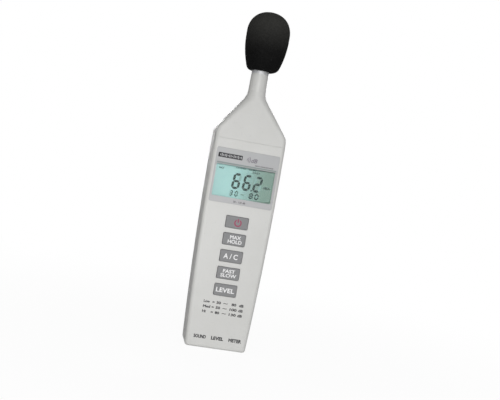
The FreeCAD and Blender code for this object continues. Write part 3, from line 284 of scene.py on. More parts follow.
def board_green():
    """A circuit board: solder mask over copper tracks, with bare edges of glass fibre."""
    made = Finish("board_green", Coat_Weight=0.3, Coat_Roughness=0.2)
    grid = made.add("TexBrick", {"Vector": made.add("Mapping", {
        "Vector": made.place, "Rotation": (PI / 2, 0, 0)})["Vector"],
        "Scale": 1.0, "Mortar Size": 0.25 * MM, "Brick Width": 7 * MM, "Row Height": 2.1 * MM})["Fac"]
    ragged = made.window(made.noise(9 * MM, 1), 0.42, 0.5)
    track = made.calc("MULTIPLY", grid, ragged)
    mask = made.blend(made.noise(6 * MM, 3), tone(14, 84, 46), tone(20, 98, 56))
    colour = made.blend(track, mask, tone(52, 138, 78))
    colour = made.blend(made.edges(0.3 * MM), colour, tone(168, 168, 110))
    height = made.relief(track, 0.03 * MM, None, 0.8)
    gloss = made.window(made.noise(3 * MM, 2), 0.3, 0.7, 0.3, 0.42)
    return made.feed(Base_Color=colour, Roughness=gloss, Normal=height)


def strip_rubber():
    """The contact strip: conducting black layers between insulating pink ones, side by side."""
    made = Finish("strip_rubber", Specular_IOR_Level=0.3)
    stripe = made.calc("SINE", made.calc("MULTIPLY", made.axis("X"), 2 * PI / STRIP_PITCH))
    colour = made.blend(made.window(stripe, -0.2, 0.2), tone(226, 150, 150), tone(34, 32, 34))
    gloss = made.window(made.noise(2 * MM, 2), 0.3, 0.7, 0.55, 0.7)
    grain = made.relief(stripe, 0.01 * MM, None, 0.4)
    return made.feed(Base_Color=colour, Roughness=gloss, Normal=grain)


def battery_jacket():
    """The battery's printed steel jacket: black, with a copper-coloured shoulder band."""
    made = Finish("battery_jacket", Metallic=0.35, Coat_Weight=0.4, Coat_Roughness=0.15)
    low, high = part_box("battery")
    band_foot = low.z + BAND_SHARE * (high.z - low.z)
    crimp_foot = high.z - CRIMP_HIGH
    height = made.axis("Z")
    band = made.window(height, band_foot, band_foot + 0.15 * MM)
    crimp = made.window(height, crimp_foot, crimp_foot + 0.1 * MM)
    dark = made.blend(made.noise(6 * MM, 3), tone(26, 27, 30), tone(34, 35, 38))
    colour = made.blend(band, dark, tone(176, 112, 62))
    colour = made.blend(crimp, colour, tone(170, 171, 173))
    scuff = made.window(made.noise(1.2 * MM, 5, made.stretched((1, 1, 0.2))), 0.62, 0.7, 0.0, 0.4)
    colour = made.blend(made.calc("MAXIMUM", scuff, made.edges(0.4 * MM)), colour, tone(150, 150, 152))
    gloss = made.calc("ADD", made.window(made.noise(4 * MM, 3), 0.3, 0.7, 0.24, 0.34),
                      made.calc("MULTIPLY", scuff, 0.3))
    crease = made.relief(made.noise(2.5 * MM, 2), 0.03 * MM, None, 0.4)
    return made.feed(Base_Color=colour, Roughness=gloss, Normal=crease)


def pad_foam():
    """The thin grey foam pad that holds the battery still."""
    made = Finish("pad_foam", Specular_IOR_Level=0.2, Sheen_Weight=0.2)
    pore = made.window(made.cells(0.5 * MM), 0.2, 0.7)
    colour = made.blend(pore, tone(52, 53, 55), tone(92, 93, 95))
    gloss = made.window(made.noise(2 * MM, 2), 0.3, 0.7, 0.85, 0.95)
    return made.feed(Base_Color=colour, Roughness=gloss, Normal=made.relief(pore, 0.12 * MM))


def lead(name, dark, pale):
    """A soft vinyl wire jacket."""
    return moulded(name, dark, pale, shine=(0.3, 0.42), grain_size=1.2, grain_depth=0.02)


def ink(name, solid, thin, shine=0.5):
    """Screen-printed ink: a little thin in places."""
    made = Finish(name, Specular_IOR_Level=0.35)
    colour = made.blend(made.window(made.noise(0.5 * MM, 3), 0.4, 0.75), solid, thin)
    gloss = made.window(made.noise(0.8 * MM, 2), 0.3, 0.7, shine - 0.06, shine + 0.06)
    grain = made.relief(made.noise(0.15 * MM, 2), 0.006 * MM, None, 0.5)
    return made.feed(Base_Color=colour, Roughness=gloss, Normal=grain)


FINISHES = {
    "case_plastic": case_plastic(),
    "label_film": label_film(),
    "clear_window": clear_window(),
    "display_glass": display_glass(),
    "key_grey": key_grey(),
    "foam_black": foam_black(),
    "board_green": board_green(),
    "strip_rubber": strip_rubber(),
    "battery_jacket": battery_jacket(),
    "pad_foam": pad_foam(),
    "frame_plastic": moulded("frame_plastic", tone(206, 205, 198), tone(216, 215, 209)),
    "mat_silicone": moulded("mat_silicone", tone(118, 119, 120), tone(127, 127, 128), (0.5, 0.65)),
    "chip_black": moulded("chip_black", tone(26, 26, 28), tone(34, 34, 36), (0.45, 0.6), 0.2),
    "header_white": moulded("header_white", tone(218, 216, 205), tone(228, 226, 216)),
    "trimmer_blue": moulded("trimmer_blue", tone(28, 74, 150), tone(36, 86, 164)),
    "sleeve_rubber": moulded("sleeve_rubber", tone(30, 30, 31), tone(40, 40, 41), (0.6, 0.75)),
    "connector_black": moulded("connector_black", tone(24, 24, 25), tone(32, 32, 33), (0.4, 0.55)),
    "can_metal": metal("can_metal", tone(168, 170, 173), tone(196, 197, 199)),
    "brass_parts": metal("brass_parts", tone(178, 146, 78), tone(208, 178, 108)),
    "barrel_metal": metal("barrel_metal", tone(180, 181, 183), tone(200, 201, 202), (0.52, 0.62),
                          metallic=0.6),
    "grid_metal": metal("grid_metal", tone(160, 161, 163), tone(190, 191, 192), (0.2, 0.3), (1, 1, 1)),
    "snap_metal": metal("snap_metal", tone(172, 172, 170), tone(200, 200, 198)),
    "lead_black": lead("lead_black", tone(20, 20, 21), tone(28, 28, 29)),
    "lead_red": lead("lead_red", tone(150, 22, 22), tone(172, 32, 30)),
    "lead_grey": lead("lead_grey", tone(110, 111, 113), tone(124, 125, 127)),
}
DARK_INK = ink("dark_ink", tone(28, 28, 32), tone(48, 48, 52))
FAINT_INK = ink("faint_ink", tone(104, 98, 108), tone(124, 118, 128))
# painted shade: the grey-green of the shadow along the top of the display's opening
PAINTED_SHADE_INK = ink("painted_shade_ink", tone(122, 133, 131), tone(128, 139, 137))
WHITE_INK = ink("white_ink", tone(226, 226, 226), tone(204, 204, 204))
RED_INK = ink("red_ink", tone(150, 52, 84), tone(132, 66, 90))
SEGMENT = ink("lcd_segment", tone(16, 40, 37), tone(22, 46, 43), 0.55)
FAINT_SEGMENT = ink("lcd_faint_segment", tone(42, 72, 67), tone(50, 80, 74), 0.55)
OFF_SEGMENT = ink("lcd_off_segment", tone(112, 143, 138), tone(108, 139, 133), 0.55)


def dress_nodes():
    """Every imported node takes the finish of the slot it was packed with."""
    for piece in NODES.values():
        for index, old in enumerate(piece.data.materials):
            piece.data.materials[index] = FINISHES[old.name]


# ---------------------------------------------------------------- making pieces

FACING = {"front": Matrix.Rotation(PI / 2, 4, "X"),
          "back": Matrix.Rotation(PI, 4, "Z") @ Matrix.Rotation(PI / 2, 4, "X"),
          "right": Matrix.Rotation(PI / 2, 4, "Z") @ Matrix.Rotation(PI / 2, 4, "X")}


def in_mm(values):
    """Millimetres as metres."""
    return tuple(value * MM for value in values)


def piece(name, mesh, finish, body):
    """A named object from a finished mesh, riding on a body."""
    made = bpy.data.objects.new(name, mesh)
    bpy.context.scene.collection.objects.link(made)
    mesh.materials.clear()
    mesh.materials.append(finish)
    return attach(made, body)


def lettering(name, words, centre, size, finish, body, facing="front", slant=0.0, weight=0.0):
    """Printed words that fill a width and a height, centred on a point of a surface.

    The weight grows the strokes by a sloping edge round the plain letters, so that
    the skin of every letter stays closed.
    """
    text = bpy.data.curves.new(name, "FONT")
    text.body, text.shear, text.bevel_depth, text.bevel_resolution = words, slant, weight, 0
    text.extrude, text.resolution_u, text.space_line = 0.5, 4, 0.9
    text.align_x = "CENTER"
    holder = bpy.data.objects.new(name + "_text", text)
    bpy.context.scene.collection.objects.link(holder)
    bpy.context.view_layer.update()
    mesh = bpy.data.meshes.new_from_object(holder.evaluated_get(
        bpy.context.evaluated_depsgraph_get()))
    bpy.data.objects.remove(holder)
    clean(mesh)
    corners = [vertex.co for vertex in mesh.vertices]
    low = Vector(map(min, zip(*corners)))
    high = Vector(map(max, zip(*corners)))
    fit = Matrix.Diagonal((size[0] / (high.x - low.x), size[1] / (high.y - low.y),
                           INK_THICK / (high.z - low.z), 1))
    middle = Matrix.Translation(-(low + high) / 2)
    mesh.transform(Matrix.Translation(centre) @ FACING[facing] @ fit @ middle)
    return piece(name, mesh, finish, body)


def clean(mesh):
    """Welds doubled corners and turns every face outwards."""
    work = bmesh.new()
    work.from_mesh(mesh)
    bmesh.ops.remove_doubles(work, verts=work.verts, dist=1e-6)
    bmesh.ops.recalc_face_normals(work, faces=work.faces)
    work.to_mesh(mesh)
    work.free()


def plates(name, outlines, level, finish, body, thick=INK_THICK):
    """Thin flat shapes facing -Y at one level of Y, from outlines of (x, z) points."""
    work = bmesh.new()
    for outline in outlines:
        face = work.faces.new([work.verts.new((x, level + thick / 2, z)) for x, z in outline])
        grown = bmesh.ops.extrude_face_region(work, geom=[face])["geom"]
        moved = [part for part in grown if isinstance(part, bmesh.types.BMVert)]
        bmesh.ops.translate(work, verts=moved, vec=(0, -thick, 0))
    bmesh.ops.recalc_face_normals(work, faces=work.faces)
    mesh = bpy.data.meshes.new(name)
    work.to_mesh(mesh)
    work.free()
    return piece(name, mesh, finish, body)


def rounded_plate(name, shape, level, finish):
    """A thin plate on the case: a lower left corner, an upper right one and a radius, in mm."""
    low, high, radius = shape
    outline = rounded_outline(in_mm(low), in_mm(high), radius * MM)
    return plates(name, [outline], level, finish, "case")


def ring_outline(centre, inner, outer, start, end, steps=24):
    """An arc-shaped band as a closed outline of (x, z) points; angles in degrees."""
    def walk(radius, first, last):
        return [(centre[0] + radius * math.cos(math.radians(first + (last - first) * i / steps)),
                 centre[1] + radius * math.sin(math.radians(first + (last - first) * i / steps)))
                for i in range(steps + 1)]
    return walk(outer, start, end) + walk(inner, end, start)


def rounded_outline(low, high, radius, steps=6):
    """A rectangle with round corners as (x, z) points."""
    corners = ((high[0] - radius, high[1] - radius, 0), (low[0] + radius, high[1] - radius, 90),
               (low[0] + radius, low[1] + radius, 180), (high[0] - radius, low[1] + radius, 270))
    return [(x + radius * math.cos(math.radians(turn + 90 * i / steps)),
             z + radius * math.sin(math.radians(turn + 90 * i / steps)))
            for x, z, turn in corners for i in range(steps + 1)]


# ---------------------------------------------------------------- the foam windscreen

FOAM_PITCH = 0.34 * MM                  # about how far apart the skin's corners lie
FOOT_LIFT = 0.3 * MM                    # how far the outline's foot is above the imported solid's
FOOT_ROUND = 5.2 * MM                   # radius of the round at the foot
SIDE_BOW = 63.2 * MM                    # radius of the bowed side
WIDEST = 25.2 * MM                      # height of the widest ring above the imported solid's foot
BLUNT = 2.2                             # how blunt the dome is; 2 would be round
FOAM_BORE = 6.42 * MM                   # radius of the socket for the barrel
SOCKET_DEEP = 18.7 * MM                 # height of the socket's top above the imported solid's foot
LIP_ROUND = 0.9 * MM                    # radius of the socket's lip
LIP_END, FOOT_START = 250, 262          # degrees where the lip stops and the foot's round begins
FOAM_FULL = 0.3 * MM                    # how far the skin stands out where it has no dent
CELL_SIZE, CELL_DEEP = 1.15 * MM, 0.30 * MM     # the open cells
PIT_SIZE, PIT_DEEP = 0.62 * MM, 0.12 * MM       # the finer pits between them
PIT_SHIFT = Vector((7, 3, 5))           # keeps the pits from lying on the cells
WAVE_SIZE, WAVE_DEEP = 9 * MM, 0.16 * MM        # the soft unevenness of the whole skin
FOAM_LEAN = 1.0 * MM                    # how far the crown leans towards +X
FOAM_SETTLED = 26 * MM                  # height above the foot at which it leans its whole way
LIP_REACH = 8.0 * MM                    # radius within which the foot doesn't lean


def arc_points(centre, radius, first, last):
    """Points about one pitch apart along an arc in (r, z); angles in degrees."""
    count = max(2, round(abs(math.radians(last - first)) * radius / FOAM_PITCH))
    return [(centre[0] + radius * math.cos(math.radians(first + (last - first) * i / count)),
             centre[1] + radius * math.sin(math.radians(first + (last - first) * i / count)))
            for i in range(count)]


def run_points(start, end):
    """Points about one pitch apart along a straight run in (r, z)."""
    count = max(1, round(math.dist(start, end) / FOAM_PITCH))
    return [(start[0] + (end[0] - start[0]) * i / count, start[1] + (end[1] - start[1]) * i / count)
            for i in range(count)]


def dome_points(foot, radius):
    """A quarter section a little blunter than a circle, without its end."""
    count = round(PI / 2 * radius / FOAM_PITCH)
    angles = [PI / 2 * i / count for i in range(count)]
    return [(radius * math.cos(angle) ** (2 / BLUNT), foot + radius * math.sin(angle) ** (2 / BLUNT))
            for angle in angles]


def foam_profile():
    """The egg's half section: up the socket's wall, round the lip and foot, and over the dome."""
    low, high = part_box("windscreen")
    radius = high.x
    foot = low.z + FOOT_LIFT
    turn = math.degrees(math.asin((WIDEST - FOOT_LIFT - FOOT_ROUND) / (SIDE_BOW - FOOT_ROUND)))
    side_centre = (radius - SIDE_BOW, low.z + WIDEST)
    foot_centre = (side_centre[0] + (SIDE_BOW - FOOT_ROUND) * math.cos(math.radians(turn)),
                   foot + FOOT_ROUND)
    lip_centre = (FOAM_BORE + LIP_ROUND, foot + LIP_ROUND)
    dome_foot = high.z - radius
    socket_top = low.z + SOCKET_DEEP
    return (run_points((0, socket_top), (FOAM_BORE, socket_top))
            + run_points((FOAM_BORE, socket_top), (FOAM_BORE, lip_centre[1]))
            + arc_points(lip_centre, LIP_ROUND, 180, LIP_END)
            + arc_points(foot_centre, FOOT_ROUND, FOOT_START, 360 - turn)
            + arc_points(side_centre, SIDE_BOW, -turn, 0)
            + run_points((radius, low.z + WIDEST), (radius, dome_foot))
            + dome_points(dome_foot, radius) + [(0, high.z)])


def foam_dent(spot):
    """How deep the skin is dented at a spot: open cells, finer pits and a soft wave."""
    nearest_cell = noise.voronoi(spot / CELL_SIZE)[0][0]
    nearest_pit = noise.voronoi(spot / PIT_SIZE + PIT_SHIFT)[0][0]
    wave = noise.noise(spot / WAVE_SIZE) * 0.5 + 0.5
    cell = max(0.0, 1.0 - nearest_cell / 0.62) ** 1.5
    pit = max(0.0, 1.0 - nearest_pit / 0.55)
    return CELL_DEEP * cell + PIT_DEEP * pit + WAVE_DEEP * wave


def foam_lean(spot, foot):
    """How far the foam leans at a spot: nothing where it grips the barrel, all of it higher up."""
    raised = (spot.z - foot) / FOAM_SETTLED
    clear = (spot.xy.length - LIP_REACH) / FOOT_ROUND
    share = min(1.0, max(0.0, raised, clear))
    return FOAM_LEAN * share * share * (3 - 2 * share)


def foam_skin(profile):
    """The profile turned about the meter's axis into one closed mesh."""
    around = round(2 * PI * profile[len(profile) // 2][0] / FOAM_PITCH)
    work = bmesh.new()
    rings = []
    for radius, height in profile:
        count = around if radius else 1
        rings.append([work.verts.new((radius * math.cos(2 * PI * i / around),
                                      radius * math.sin(2 * PI * i / around), height))
                      for i in range(count)])
    for first, second in zip(rings, rings[1:]):
        for i in range(around):
            j = (i + 1) % around
            corners = [first[i % len(first)], first[j % len(first)],
                       second[j % len(second)], second[i % len(second)]]
            work.faces.new(list(dict.fromkeys(corners)))
    bmesh.ops.recalc_face_normals(work, faces=work.faces)
    work.normal_update()
    return work


def windscreen_foam():
    """The windscreen as one closed skin with its cells modelled."""
    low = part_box("windscreen")[0]
    socket_wall = FOAM_BORE + 0.2 * MM
    socket_end = low.z + 1.2 * SOCKET_DEEP
    work = foam_skin(foam_profile())
    for vertex in work.verts:
        if vertex.co.xy.length > socket_wall or vertex.co.z > socket_end:
            vertex.co += vertex.normal * (FOAM_FULL - foam_dent(vertex.co))
            vertex.co.x += foam_lean(vertex.co, low.z)
    mesh = bpy.data.meshes.new("windscreen_foam")
    work.to_mesh(mesh)
    work.free()
    mesh.shade_smooth()
    made = piece("windscreen_foam", mesh, FINISHES["foam_black"], "windscreen")
    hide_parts("windscreen")


# ---------------------------------------------------------------- the display's reading

POLARISER_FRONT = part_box("lcd_window")[1].y + 0.05 * MM
ON_GLASS = POLARISER_FRONT - INK_PROUD
SIGHT_LOW, SIGHT_HIGH = (-22.15 * MM, 111.55 * MM), (22.15 * MM, 135.95 * MM)
LIT = {"0": "abcdef", "2": "abged", "3": "abgcd", "6": "acdefg", "8": "abcdefg"}
SLANT = 0.10                            # how far a digit's top leans, as a share of its height
OFF_THICK = 0.4 * INK_THICK             # thickness of the bars that are off

# Name, digits, lower left corner, size of a digit, pitch and thickness of the bars, in mm.
READINGS = (("display_digits", "662", (-8.9, 118.7), (6.1, 11.9), 7.95, 1.75, SEGMENT),
            ("display_range_low", "30", (-9.3, 113.3), (2.7, 4.4), 3.8, 0.95, FAINT_SEGMENT),
            ("display_range_high", "80", (5.3, 113.3), (3.2, 4.5), 4.2, 1.0, SEGMENT))
# Name and shape, which is a lower left corner, an upper right one and a corner radius, in mm.
MARKS = (("display_point", ((6.1, 119.0), (7.2, 120.1), 0.3), SEGMENT),
         ("display_range_dash", ((-0.4, 115.2), (1.9, 115.7), 0.2), FAINT_SEGMENT))
# Name, words, centre and size, in mm.
FLAGS = (("display_unit", "dBA", (17.7, 123.0), (5.4, 1.7), SEGMENT),
         ("display_flag_hold", "MAX", (-17.6, 132.6), (3.9, 1.4), FAINT_SEGMENT),
         ("display_flag_fast", "FAST", (8.4, 132.8), (5.6, 1.4), SEGMENT),
         ("display_flag_range", "UNDER   OVER", (0.4, 134.5), (15.0, 0.9), FAINT_SEGMENT))


def bar(start, end, thick):
    """A six-sided bar between two points."""
    run, rise = end[0] - start[0], end[1] - start[1]
    length = math.hypot(run, rise)
    along, across = (run / length, rise / length), (-rise / length, run / length)
    def point(share, side):
        reach = share * length + (thick / 2 if share == 0 else -thick / 2) * abs(side)
        return (start[0] + along[0] * reach + across[0] * side * thick / 2,
                start[1] + along[1] * reach + across[1] * side * thick / 2)
    return [point(0, 0), point(0, 1), point(1, 1), point(1, 0), point(1, -1), point(0, -1)]


def digit_bars(names, corner, size, thick):
    """The named bars of one seven-bar digit, leaning as the reading does."""
    (x, z), (wide, high), gap = corner, size, 0.07 * thick
    left, right, foot, middle, top = (thick / 2, wide - thick / 2, thick / 2, high / 2,
                                      high - thick / 2)
    ends = {"a": ((left, top), (right, top)), "b": ((right, top), (right, middle)),
            "c": ((right, middle), (right, foot)), "d": ((left, foot), (right, foot)),
            "e": ((left, middle), (left, foot)), "f": ((left, top), (left, middle)),
            "g": ((left, middle), (right, middle))}
    outlines = []
    for name in names:
        (x0, z0), (x1, z1) = ends[name]
        dx, dz = math.copysign(gap, x1 - x0) * (x1 != x0), math.copysign(gap, z1 - z0) * (z1 != z0)
        outline = bar((x0 + dx, z0 + dz), (x1 - dx, z1 - dz), thick)
        outlines.append([(x + px + SLANT * pz, z + pz) for px, pz in outline])
    return outlines


def reading(name, digits, corner, size, pitch, thick, finish):
    """A row of digits on the glass; the bars that are off show faintly."""
    lit, unlit = [], []
    for place, value in enumerate(digits):
        spot = (corner[0] + place * pitch, corner[1])
        lit += digit_bars(LIT[value], spot, size, thick)
        unlit += digit_bars(sorted(set("abcdefg") - set(LIT[value])), spot, size, thick)
    plates(name, lit, ON_GLASS, finish, "case")
    plates(name + "_off", unlit, ON_GLASS, OFF_SEGMENT, "case", OFF_THICK)


def polariser():
    """The film on the front glass that fills the opening of the display's frame."""
    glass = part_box("lcd_front_glass")[0].y
    film = plates("lcd_polariser", [rounded_outline(SIGHT_LOW, SIGHT_HIGH, 0.4 * MM)],
                  (POLARISER_FRONT + glass) / 2, FINISHES["display_glass"], "case",
                  glass - POLARISER_FRONT)


def display_reading():
    """The reading 66.2, its range below and the small flags round it."""
    for name, digits, corner, size, pitch, thick, finish in READINGS:
        reading(name, digits, in_mm(corner), in_mm(size), pitch * MM, thick * MM, finish)
    for name, shape, finish in MARKS:
        rounded_plate(name, shape, ON_GLASS, finish)
    for name, words, (x, z), size, finish in FLAGS:
        lettering(name, words, (x * MM, ON_GLASS, z * MM), in_mm(size), finish, "case", weight=0.04)


# ---------------------------------------------------------------- printing on the label, keys and case

# A lower left corner, an upper right one and a corner radius, in mm.
BADGE = ((-22.0, 140.2), (-4.0, 143.6), 0.5)
# painted shade: a grey-green band along the top edge of the display's opening, where the recess is in
# shade
DISPLAY_TOP_PAINTED_SHADE = ((-22.3, 136.0), (22.3, 137.0), 0.4)
STROKES = 15                            # upright strokes on the badge
STROKE_START, STROKE_PITCH, STROKE_WIDE = -20.6 * MM, 1.1 * MM, 0.55 * MM
STROKE_LEVEL = 141.9 * MM               # height of the strokes' middles
STROKE_LEAST, STROKE_SWING = 0.35 * MM, 0.85 * MM       # least half height, and the most it gains
STROKE_TURN, STROKE_PHASE = 1.15, 0.4   # radians of the wave from one stroke to the next, and at first
BADGE_LAYER = 0.6 * INK_THICK           # how far the strokes stand before the badge
MARK_CENTRE = (-1.6 * MM, 141.5 * MM)   # where the sound waves spread from
MARK_RADII = (1.0, 2.1, 3.2)            # inner radii of the waves, in mm
MARK_THICK = 0.45 * MM
MARK_SPREAD = 38                        # degrees to each side of +X

# Name, words, centre and size in mm, slant and weight.
LABEL_WORDS = (("label_unit_mark", "dB", (4.9, 141.3), (4.6, 3.0), FAINT_INK, 0.25, 0.02),
               ("label_line", "DIGITAL SOUND LEVEL METER", (12.9, 138.0), (13.6, 0.9), DARK_INK,
                0.0, 0.02),
               ("label_span", "30 - 130 dB", (-0.9, 109.5), (9.0, 1.35), DARK_INK, 0.0, 0.01))


def label_printing():
    """A plain badge, a sound-wave mark, a band of painted shade along the display's top, and the small
    words above and below the display.
    """
    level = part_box("display_label")[0].y - INK_PROUD
    rounded_plate("badge_bar", BADGE, level, DARK_INK)
    strokes = []
    for step in range(STROKES):
        x = STROKE_START + STROKE_PITCH * step
        tall = STROKE_LEAST + STROKE_SWING * abs(math.sin(STROKE_TURN * step + STROKE_PHASE))
        strokes.append(rounded_outline((x, STROKE_LEVEL - tall), (x + STROKE_WIDE, STROKE_LEVEL + tall),
                                       0.15 * MM, 3))
    plates("badge_wave", strokes, level - BADGE_LAYER, FINISHES["label_film"], "case")
    arcs = [ring_outline(MARK_CENTRE, reach * MM, reach * MM + MARK_THICK, -MARK_SPREAD, MARK_SPREAD)
            for reach in MARK_RADII]
    plates("sound_mark", arcs, level, FAINT_INK, "case")
    rounded_plate("label_painted_shade", DISPLAY_TOP_PAINTED_SHADE, level, PAINTED_SHADE_INK)
    for name, words, (x, z), size, finish, slant, weight in LABEL_WORDS:
        lettering(name, words, (x * MM, level, z * MM), in_mm(size), finish, "case", slant=slant,
                  weight=weight)


# Each key's words, their place in X and their width and height, in mm.
LEGENDS = {"hold": ("MAX\nHOLD", 0.7, 10.4, 5.9), "weighting": ("A / C", -0.4, 10.6, 3.9),
           "response": ("FAST\nSLOW", 0.3, 11.8, 5.9), "range": ("LEVEL", -0.1, 13.6, 3.4)}
POWER_X, POWER_DROP = 0.7 * MM, 0.2 * MM        # the power ring's centre, off the key's own
POWER_INNER, POWER_OUTER = 1.85 * MM, 2.75 * MM
POWER_GAP = 32                                  # degrees left open on each side of the stem
STEM_FOOT, STEM_TOP, STEM_HALF = 0.3 * MM, 3.1 * MM, 0.45 * MM      # above and beside the centre


def key_printing():
    """White legends on four keys, and the red power mark on the first."""
    for name, (words, x, wide, high) in LEGENDS.items():
        low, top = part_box("key_" + name)
        spot = (x * MM, low.y - INK_PROUD, (low.z + top.z) / 2)
        lettering("legend_" + name, words, spot, in_mm((wide, high)), WHITE_INK, "key_" + name,
                  weight=0.025)
    low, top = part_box("key_power")
    x, z = POWER_X, (low.z + top.z) / 2 - POWER_DROP
    ring = ring_outline((x, z), POWER_INNER, POWER_OUTER, 90 + POWER_GAP, 450 - POWER_GAP, 40)
    stem = rounded_outline((x - STEM_HALF, z + STEM_FOOT), (x + STEM_HALF, z + STEM_TOP), 0.25 * MM)
    plates("legend_power", [ring, stem], low.y - INK_PROUD, RED_INK, "key_power")


# The printing on the case, in mm. A range is its name, the name's width and the two ends.
RANGES = (("Low", 4.6, "30", "80"), ("Med", 5.4, "50", "100"), ("Hi", 2.6, "80", "130"))
RANGE_TOP, RANGE_PITCH = 34.5, 3.75             # height of the first line and drop to the next
RANGE_LEFT = -14.2                              # where the names begin
LETTER_HIGH, SIGN_HIGH = 2.0, {"=": 0.9, "~": 0.7}
TRIMMER_SPOT, TRIMMER_SIZE = (-3.6, 121.0), (4.6, 1.7)
FOOT_LEVEL, FOOT_HIGH = 8.2, 2.6                # middle and height of the words at the foot
# Each word at the foot, its place in X and its width.
FOOT_WORDS = (("SOUND", -12.7, 9.0), ("LEVEL", 0.3, 9.2), ("METER", 13.6, 9.6))


def range_table(level):
    """The three ranges as lines of words, each word with its column's middle and its width."""
    for row, (name, name_wide, low, high) in enumerate(RANGES):
        z = RANGE_TOP - RANGE_PITCH * row
        columns = ((name, RANGE_LEFT + name_wide / 2, name_wide), ("=", -7.0, 1.6), (low, -3.1, 3.3),
                   ("~", 2.0, 3.2), (high, 8.3, 1.75 * len(high)), ("dB", 13.9, 3.4))
        for column, (words, x, wide) in enumerate(columns):
            size = in_mm((wide, SIGN_HIGH.get(words, LETTER_HIGH)))
            lettering(f"range_{row}_{column}", words, (x * MM, level, z * MM), size, DARK_INK, "case",
                      weight=0.035)


def case_printing():
    """The table of ranges, the mark beside the trimmer and the words at the foot."""
    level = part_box("front_case")[0].y - CASE_INK_PROUD
    range_table(level)
    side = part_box("front_case")[1].x - 0.03 * MM
    y, z = in_mm(TRIMMER_SPOT)
    lettering("trimmer_mark", "CAL", (side, y, z), in_mm(TRIMMER_SIZE), DARK_INK, "case", "right",
              weight=0.02)
    for words, x, wide in FOOT_WORDS:
        lettering("foot_" + words.lower(), words, (x * MM, level, FOOT_LEVEL * MM),
                  in_mm((wide, FOOT_HIGH)), DARK_INK, "case", weight=0.045)


# Name, words, height as a share of the battery's, size in mm, ink and weight.
BATTERY_WORDS = (("battery_volts", "9V", 0.84, (9, 6), DARK_INK, 0.02),
                 ("battery_kind", "ALKALINE BATTERY", 0.58, (17, 1.6), WHITE_INK, 0.01))


def battery_printing():
    """The voltage and the kind of battery on the battery's jacket."""
    low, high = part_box("battery")
    level = high.y + CASE_INK_PROUD
    for name, words, share, size, finish, weight in BATTERY_WORDS:
        lettering(name, words, (0, level, low.z + share * (high.z - low.z)), in_mm(size), finish,
                  "case", "back", weight=weight)


# ---------------------------------------------------------------- the room, the lamps and the camera

FLOOR_REACH = 6.0                       # radius of the floor
FLOOR_FADE = 0.5                        # distance from the meter at which the floor is all white
FLOOR_WHITE = 0.94                      # how nearly white it looks at the meter's foot
AMBIENT = 0.19                          # light from everywhere
FRONT_WASH = 0.90                       # more light from in front
TOP_WASH = 0.10                         # more light from above
MIDDLE = (0.0, 0.0, 0.12)               # what both suns are aimed at
KEY_SUN, KEY_SUN_FROM, KEY_SUN_WIDE = 1.25, (0.0, -1.0, 0.37), math.radians(12)
BACK_SUN, BACK_SUN_FROM, BACK_SUN_WIDE = 1.5, (0.15, 1.0, 0.22), math.radians(30)
LEFT_FILL, LEFT_FILL_SIZE = 0.028, 0.05
LEFT_FILL_FROM, LEFT_FILL_AIM = (-0.055, -0.13, 0.085), (-0.018, -0.016, 0.085)


def floor():
    """A plain pale floor that fades to white with distance."""
    work = bmesh.new()
    bmesh.ops.create_circle(work, cap_ends=True, radius=FLOOR_REACH, segments=96)
    mesh = bpy.data.meshes.new("floor")
    work.to_mesh(mesh)
    work.free()
    made = bpy.data.objects.new("floor", mesh)
    bpy.context.scene.collection.objects.link(made)
    look = Finish("floor", Roughness=0.85)
    paint = look.blend(look.noise(0.6, 3), tone(240, 240, 240), tone(244, 244, 244))
    look.feed(Base_Color=paint, Normal=look.relief(look.noise(3 * MM, 3), 0.05 * MM, None, 0.3))
    away = look.add("VectorMath", {0: look.place}, operation="LENGTH")["Value"]
    seen = look.add("LightPath", {})["Is Camera Ray"]
    fade = look.calc("MULTIPLY", look.window(away, 0.0, FLOOR_FADE, FLOOR_WHITE, 1.0), seen)
    white = look.add("Emission", {"Color": (1, 1, 1, 1), "Strength": 1.0})["Emission"]
    mixed = look.add("MixShader", {0: fade, 1: look.shader.outputs["BSDF"], 2: white})["Shader"]
    look.links.new(mixed, look.output.inputs["Surface"])
    mesh.materials.append(look.material)


def wash(tree, value, low, high, strength):
    """Light that grows to a strength as the value goes from low to high."""
    made = tree.nodes.new("ShaderNodeMapRange")
    made.interpolation_type = "SMOOTHSTEP"
    tree.links.new(value, made.inputs["Value"])
    made.inputs["From Min"].default_value, made.inputs["From Max"].default_value = low, high
    made.inputs["To Max"].default_value = strength
    return made.outputs["Result"]


def world():
    """Soft light, mostly from in front and a little from above, on a white background."""
    room = bpy.data.worlds.new("room")
    room.use_nodes = True
    tree = room.node_tree
    lit = tree.nodes["Background"]
    lit.inputs["Color"].default_value = (1, 1, 1, 1)
    way = tree.nodes.new("ShaderNodeSeparateXYZ")
    tree.links.new(tree.nodes.new("ShaderNodeTexCoord").outputs["Generated"], way.inputs[0])
    front = wash(tree, way.outputs["Y"], -0.3, -1.0, FRONT_WASH)
    top = wash(tree, way.outputs["Z"], 0.1, 1.0, TOP_WASH)
    total = tree.nodes.new("ShaderNodeMath")
    tree.links.new(front, total.inputs[0])
    tree.links.new(top, total.inputs[1])
    base = tree.nodes.new("ShaderNodeMath")
    tree.links.new(total.outputs[0], base.inputs[0])
    base.inputs[1].default_value = AMBIENT
    tree.links.new(base.outputs[0], lit.inputs["Strength"])
    white = tree.nodes.new("ShaderNodeBackground")
    white.inputs["Color"].default_value = (1, 1, 1, 1)
    seen = tree.nodes.new("ShaderNodeLightPath").outputs["Is Camera Ray"]
    mixed = tree.nodes.new("ShaderNodeMixShader")
    tree.links.new(seen, mixed.inputs[0])
    tree.links.new(lit.outputs[0], mixed.inputs[1])
    tree.links.new(white.outputs[0], mixed.inputs[2])
    tree.links.new(mixed.outputs[0], tree.nodes["World Output"].inputs["Surface"])
    bpy.context.scene.world = room


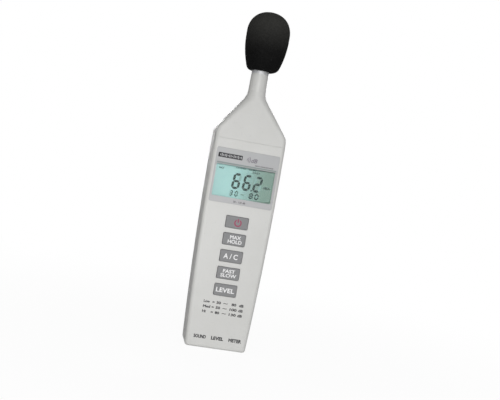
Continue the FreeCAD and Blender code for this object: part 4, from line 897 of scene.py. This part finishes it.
def lamp(name, kind, energy, place, aim, **settings):
    """A lamp at a place, aimed at another; the camera doesn't see it."""
    data = bpy.data.lights.new(name, kind)
    data.energy = energy
    for word, value in settings.items():
        setattr(data, word, value)
    made = bpy.data.objects.new(name, data)
    made.location = place
    made.rotation_mode = "QUATERNION"
    made.rotation_quaternion = (Vector(aim) - Vector(place)).to_track_quat("-Z", "Y")
    made.visible_camera = False
    bpy.context.scene.collection.objects.link(made)


def lamps():
    """A soft sun in front, a small fill in front of the panel's left and a softer sun behind."""
    lamp("key_sun", "SUN", KEY_SUN, KEY_SUN_FROM, MIDDLE, angle=KEY_SUN_WIDE)
    lamp("left_fill", "AREA", LEFT_FILL, LEFT_FILL_FROM, LEFT_FILL_AIM, size=LEFT_FILL_SIZE)
    lamp("back_fill", "SUN", BACK_SUN, BACK_SUN_FROM, MIDDLE, angle=BACK_SUN_WIDE)


AZIMUTH, ELEVATION, ROLL = -8.55, 1.33, 9.91    # degrees
DISTANCE = 0.600
AIM = Vector((0.00892, 0.0, 0.11238))
LENS, SENSOR = 57.4, 36                         # in mm


def camera():
    """The viewpoint: a little to the left of the panel, tilted so that the meter leans right."""
    side, rise, roll = map(math.radians, (AZIMUTH, ELEVATION, ROLL))
    back = Vector((math.sin(side) * math.cos(rise), -math.cos(side) * math.cos(rise), math.sin(rise)))
    level = Vector((math.cos(side), math.sin(side), 0))
    upright = back.cross(level)
    right = math.cos(roll) * level + math.sin(roll) * upright
    up = math.cos(roll) * upright - math.sin(roll) * level
    data = bpy.data.cameras.new("view")
    data.lens, data.sensor_width = LENS, SENSOR
    data.clip_start, data.clip_end = 0.01, 50
    made = bpy.data.objects.new("view", data)
    made.matrix_world = Matrix.Translation(AIM + DISTANCE * back) @ Matrix(
        (right, up, back)).transposed().to_4x4()
    bpy.context.scene.collection.objects.link(made)
    bpy.context.scene.camera = made


dress_nodes()
windscreen_foam()
polariser()
display_reading()
label_printing()
key_printing()
case_printing()
battery_printing()
floor()
world()
lamps()
camera()
bpy.context.scene.view_settings.view_transform = "Standard"
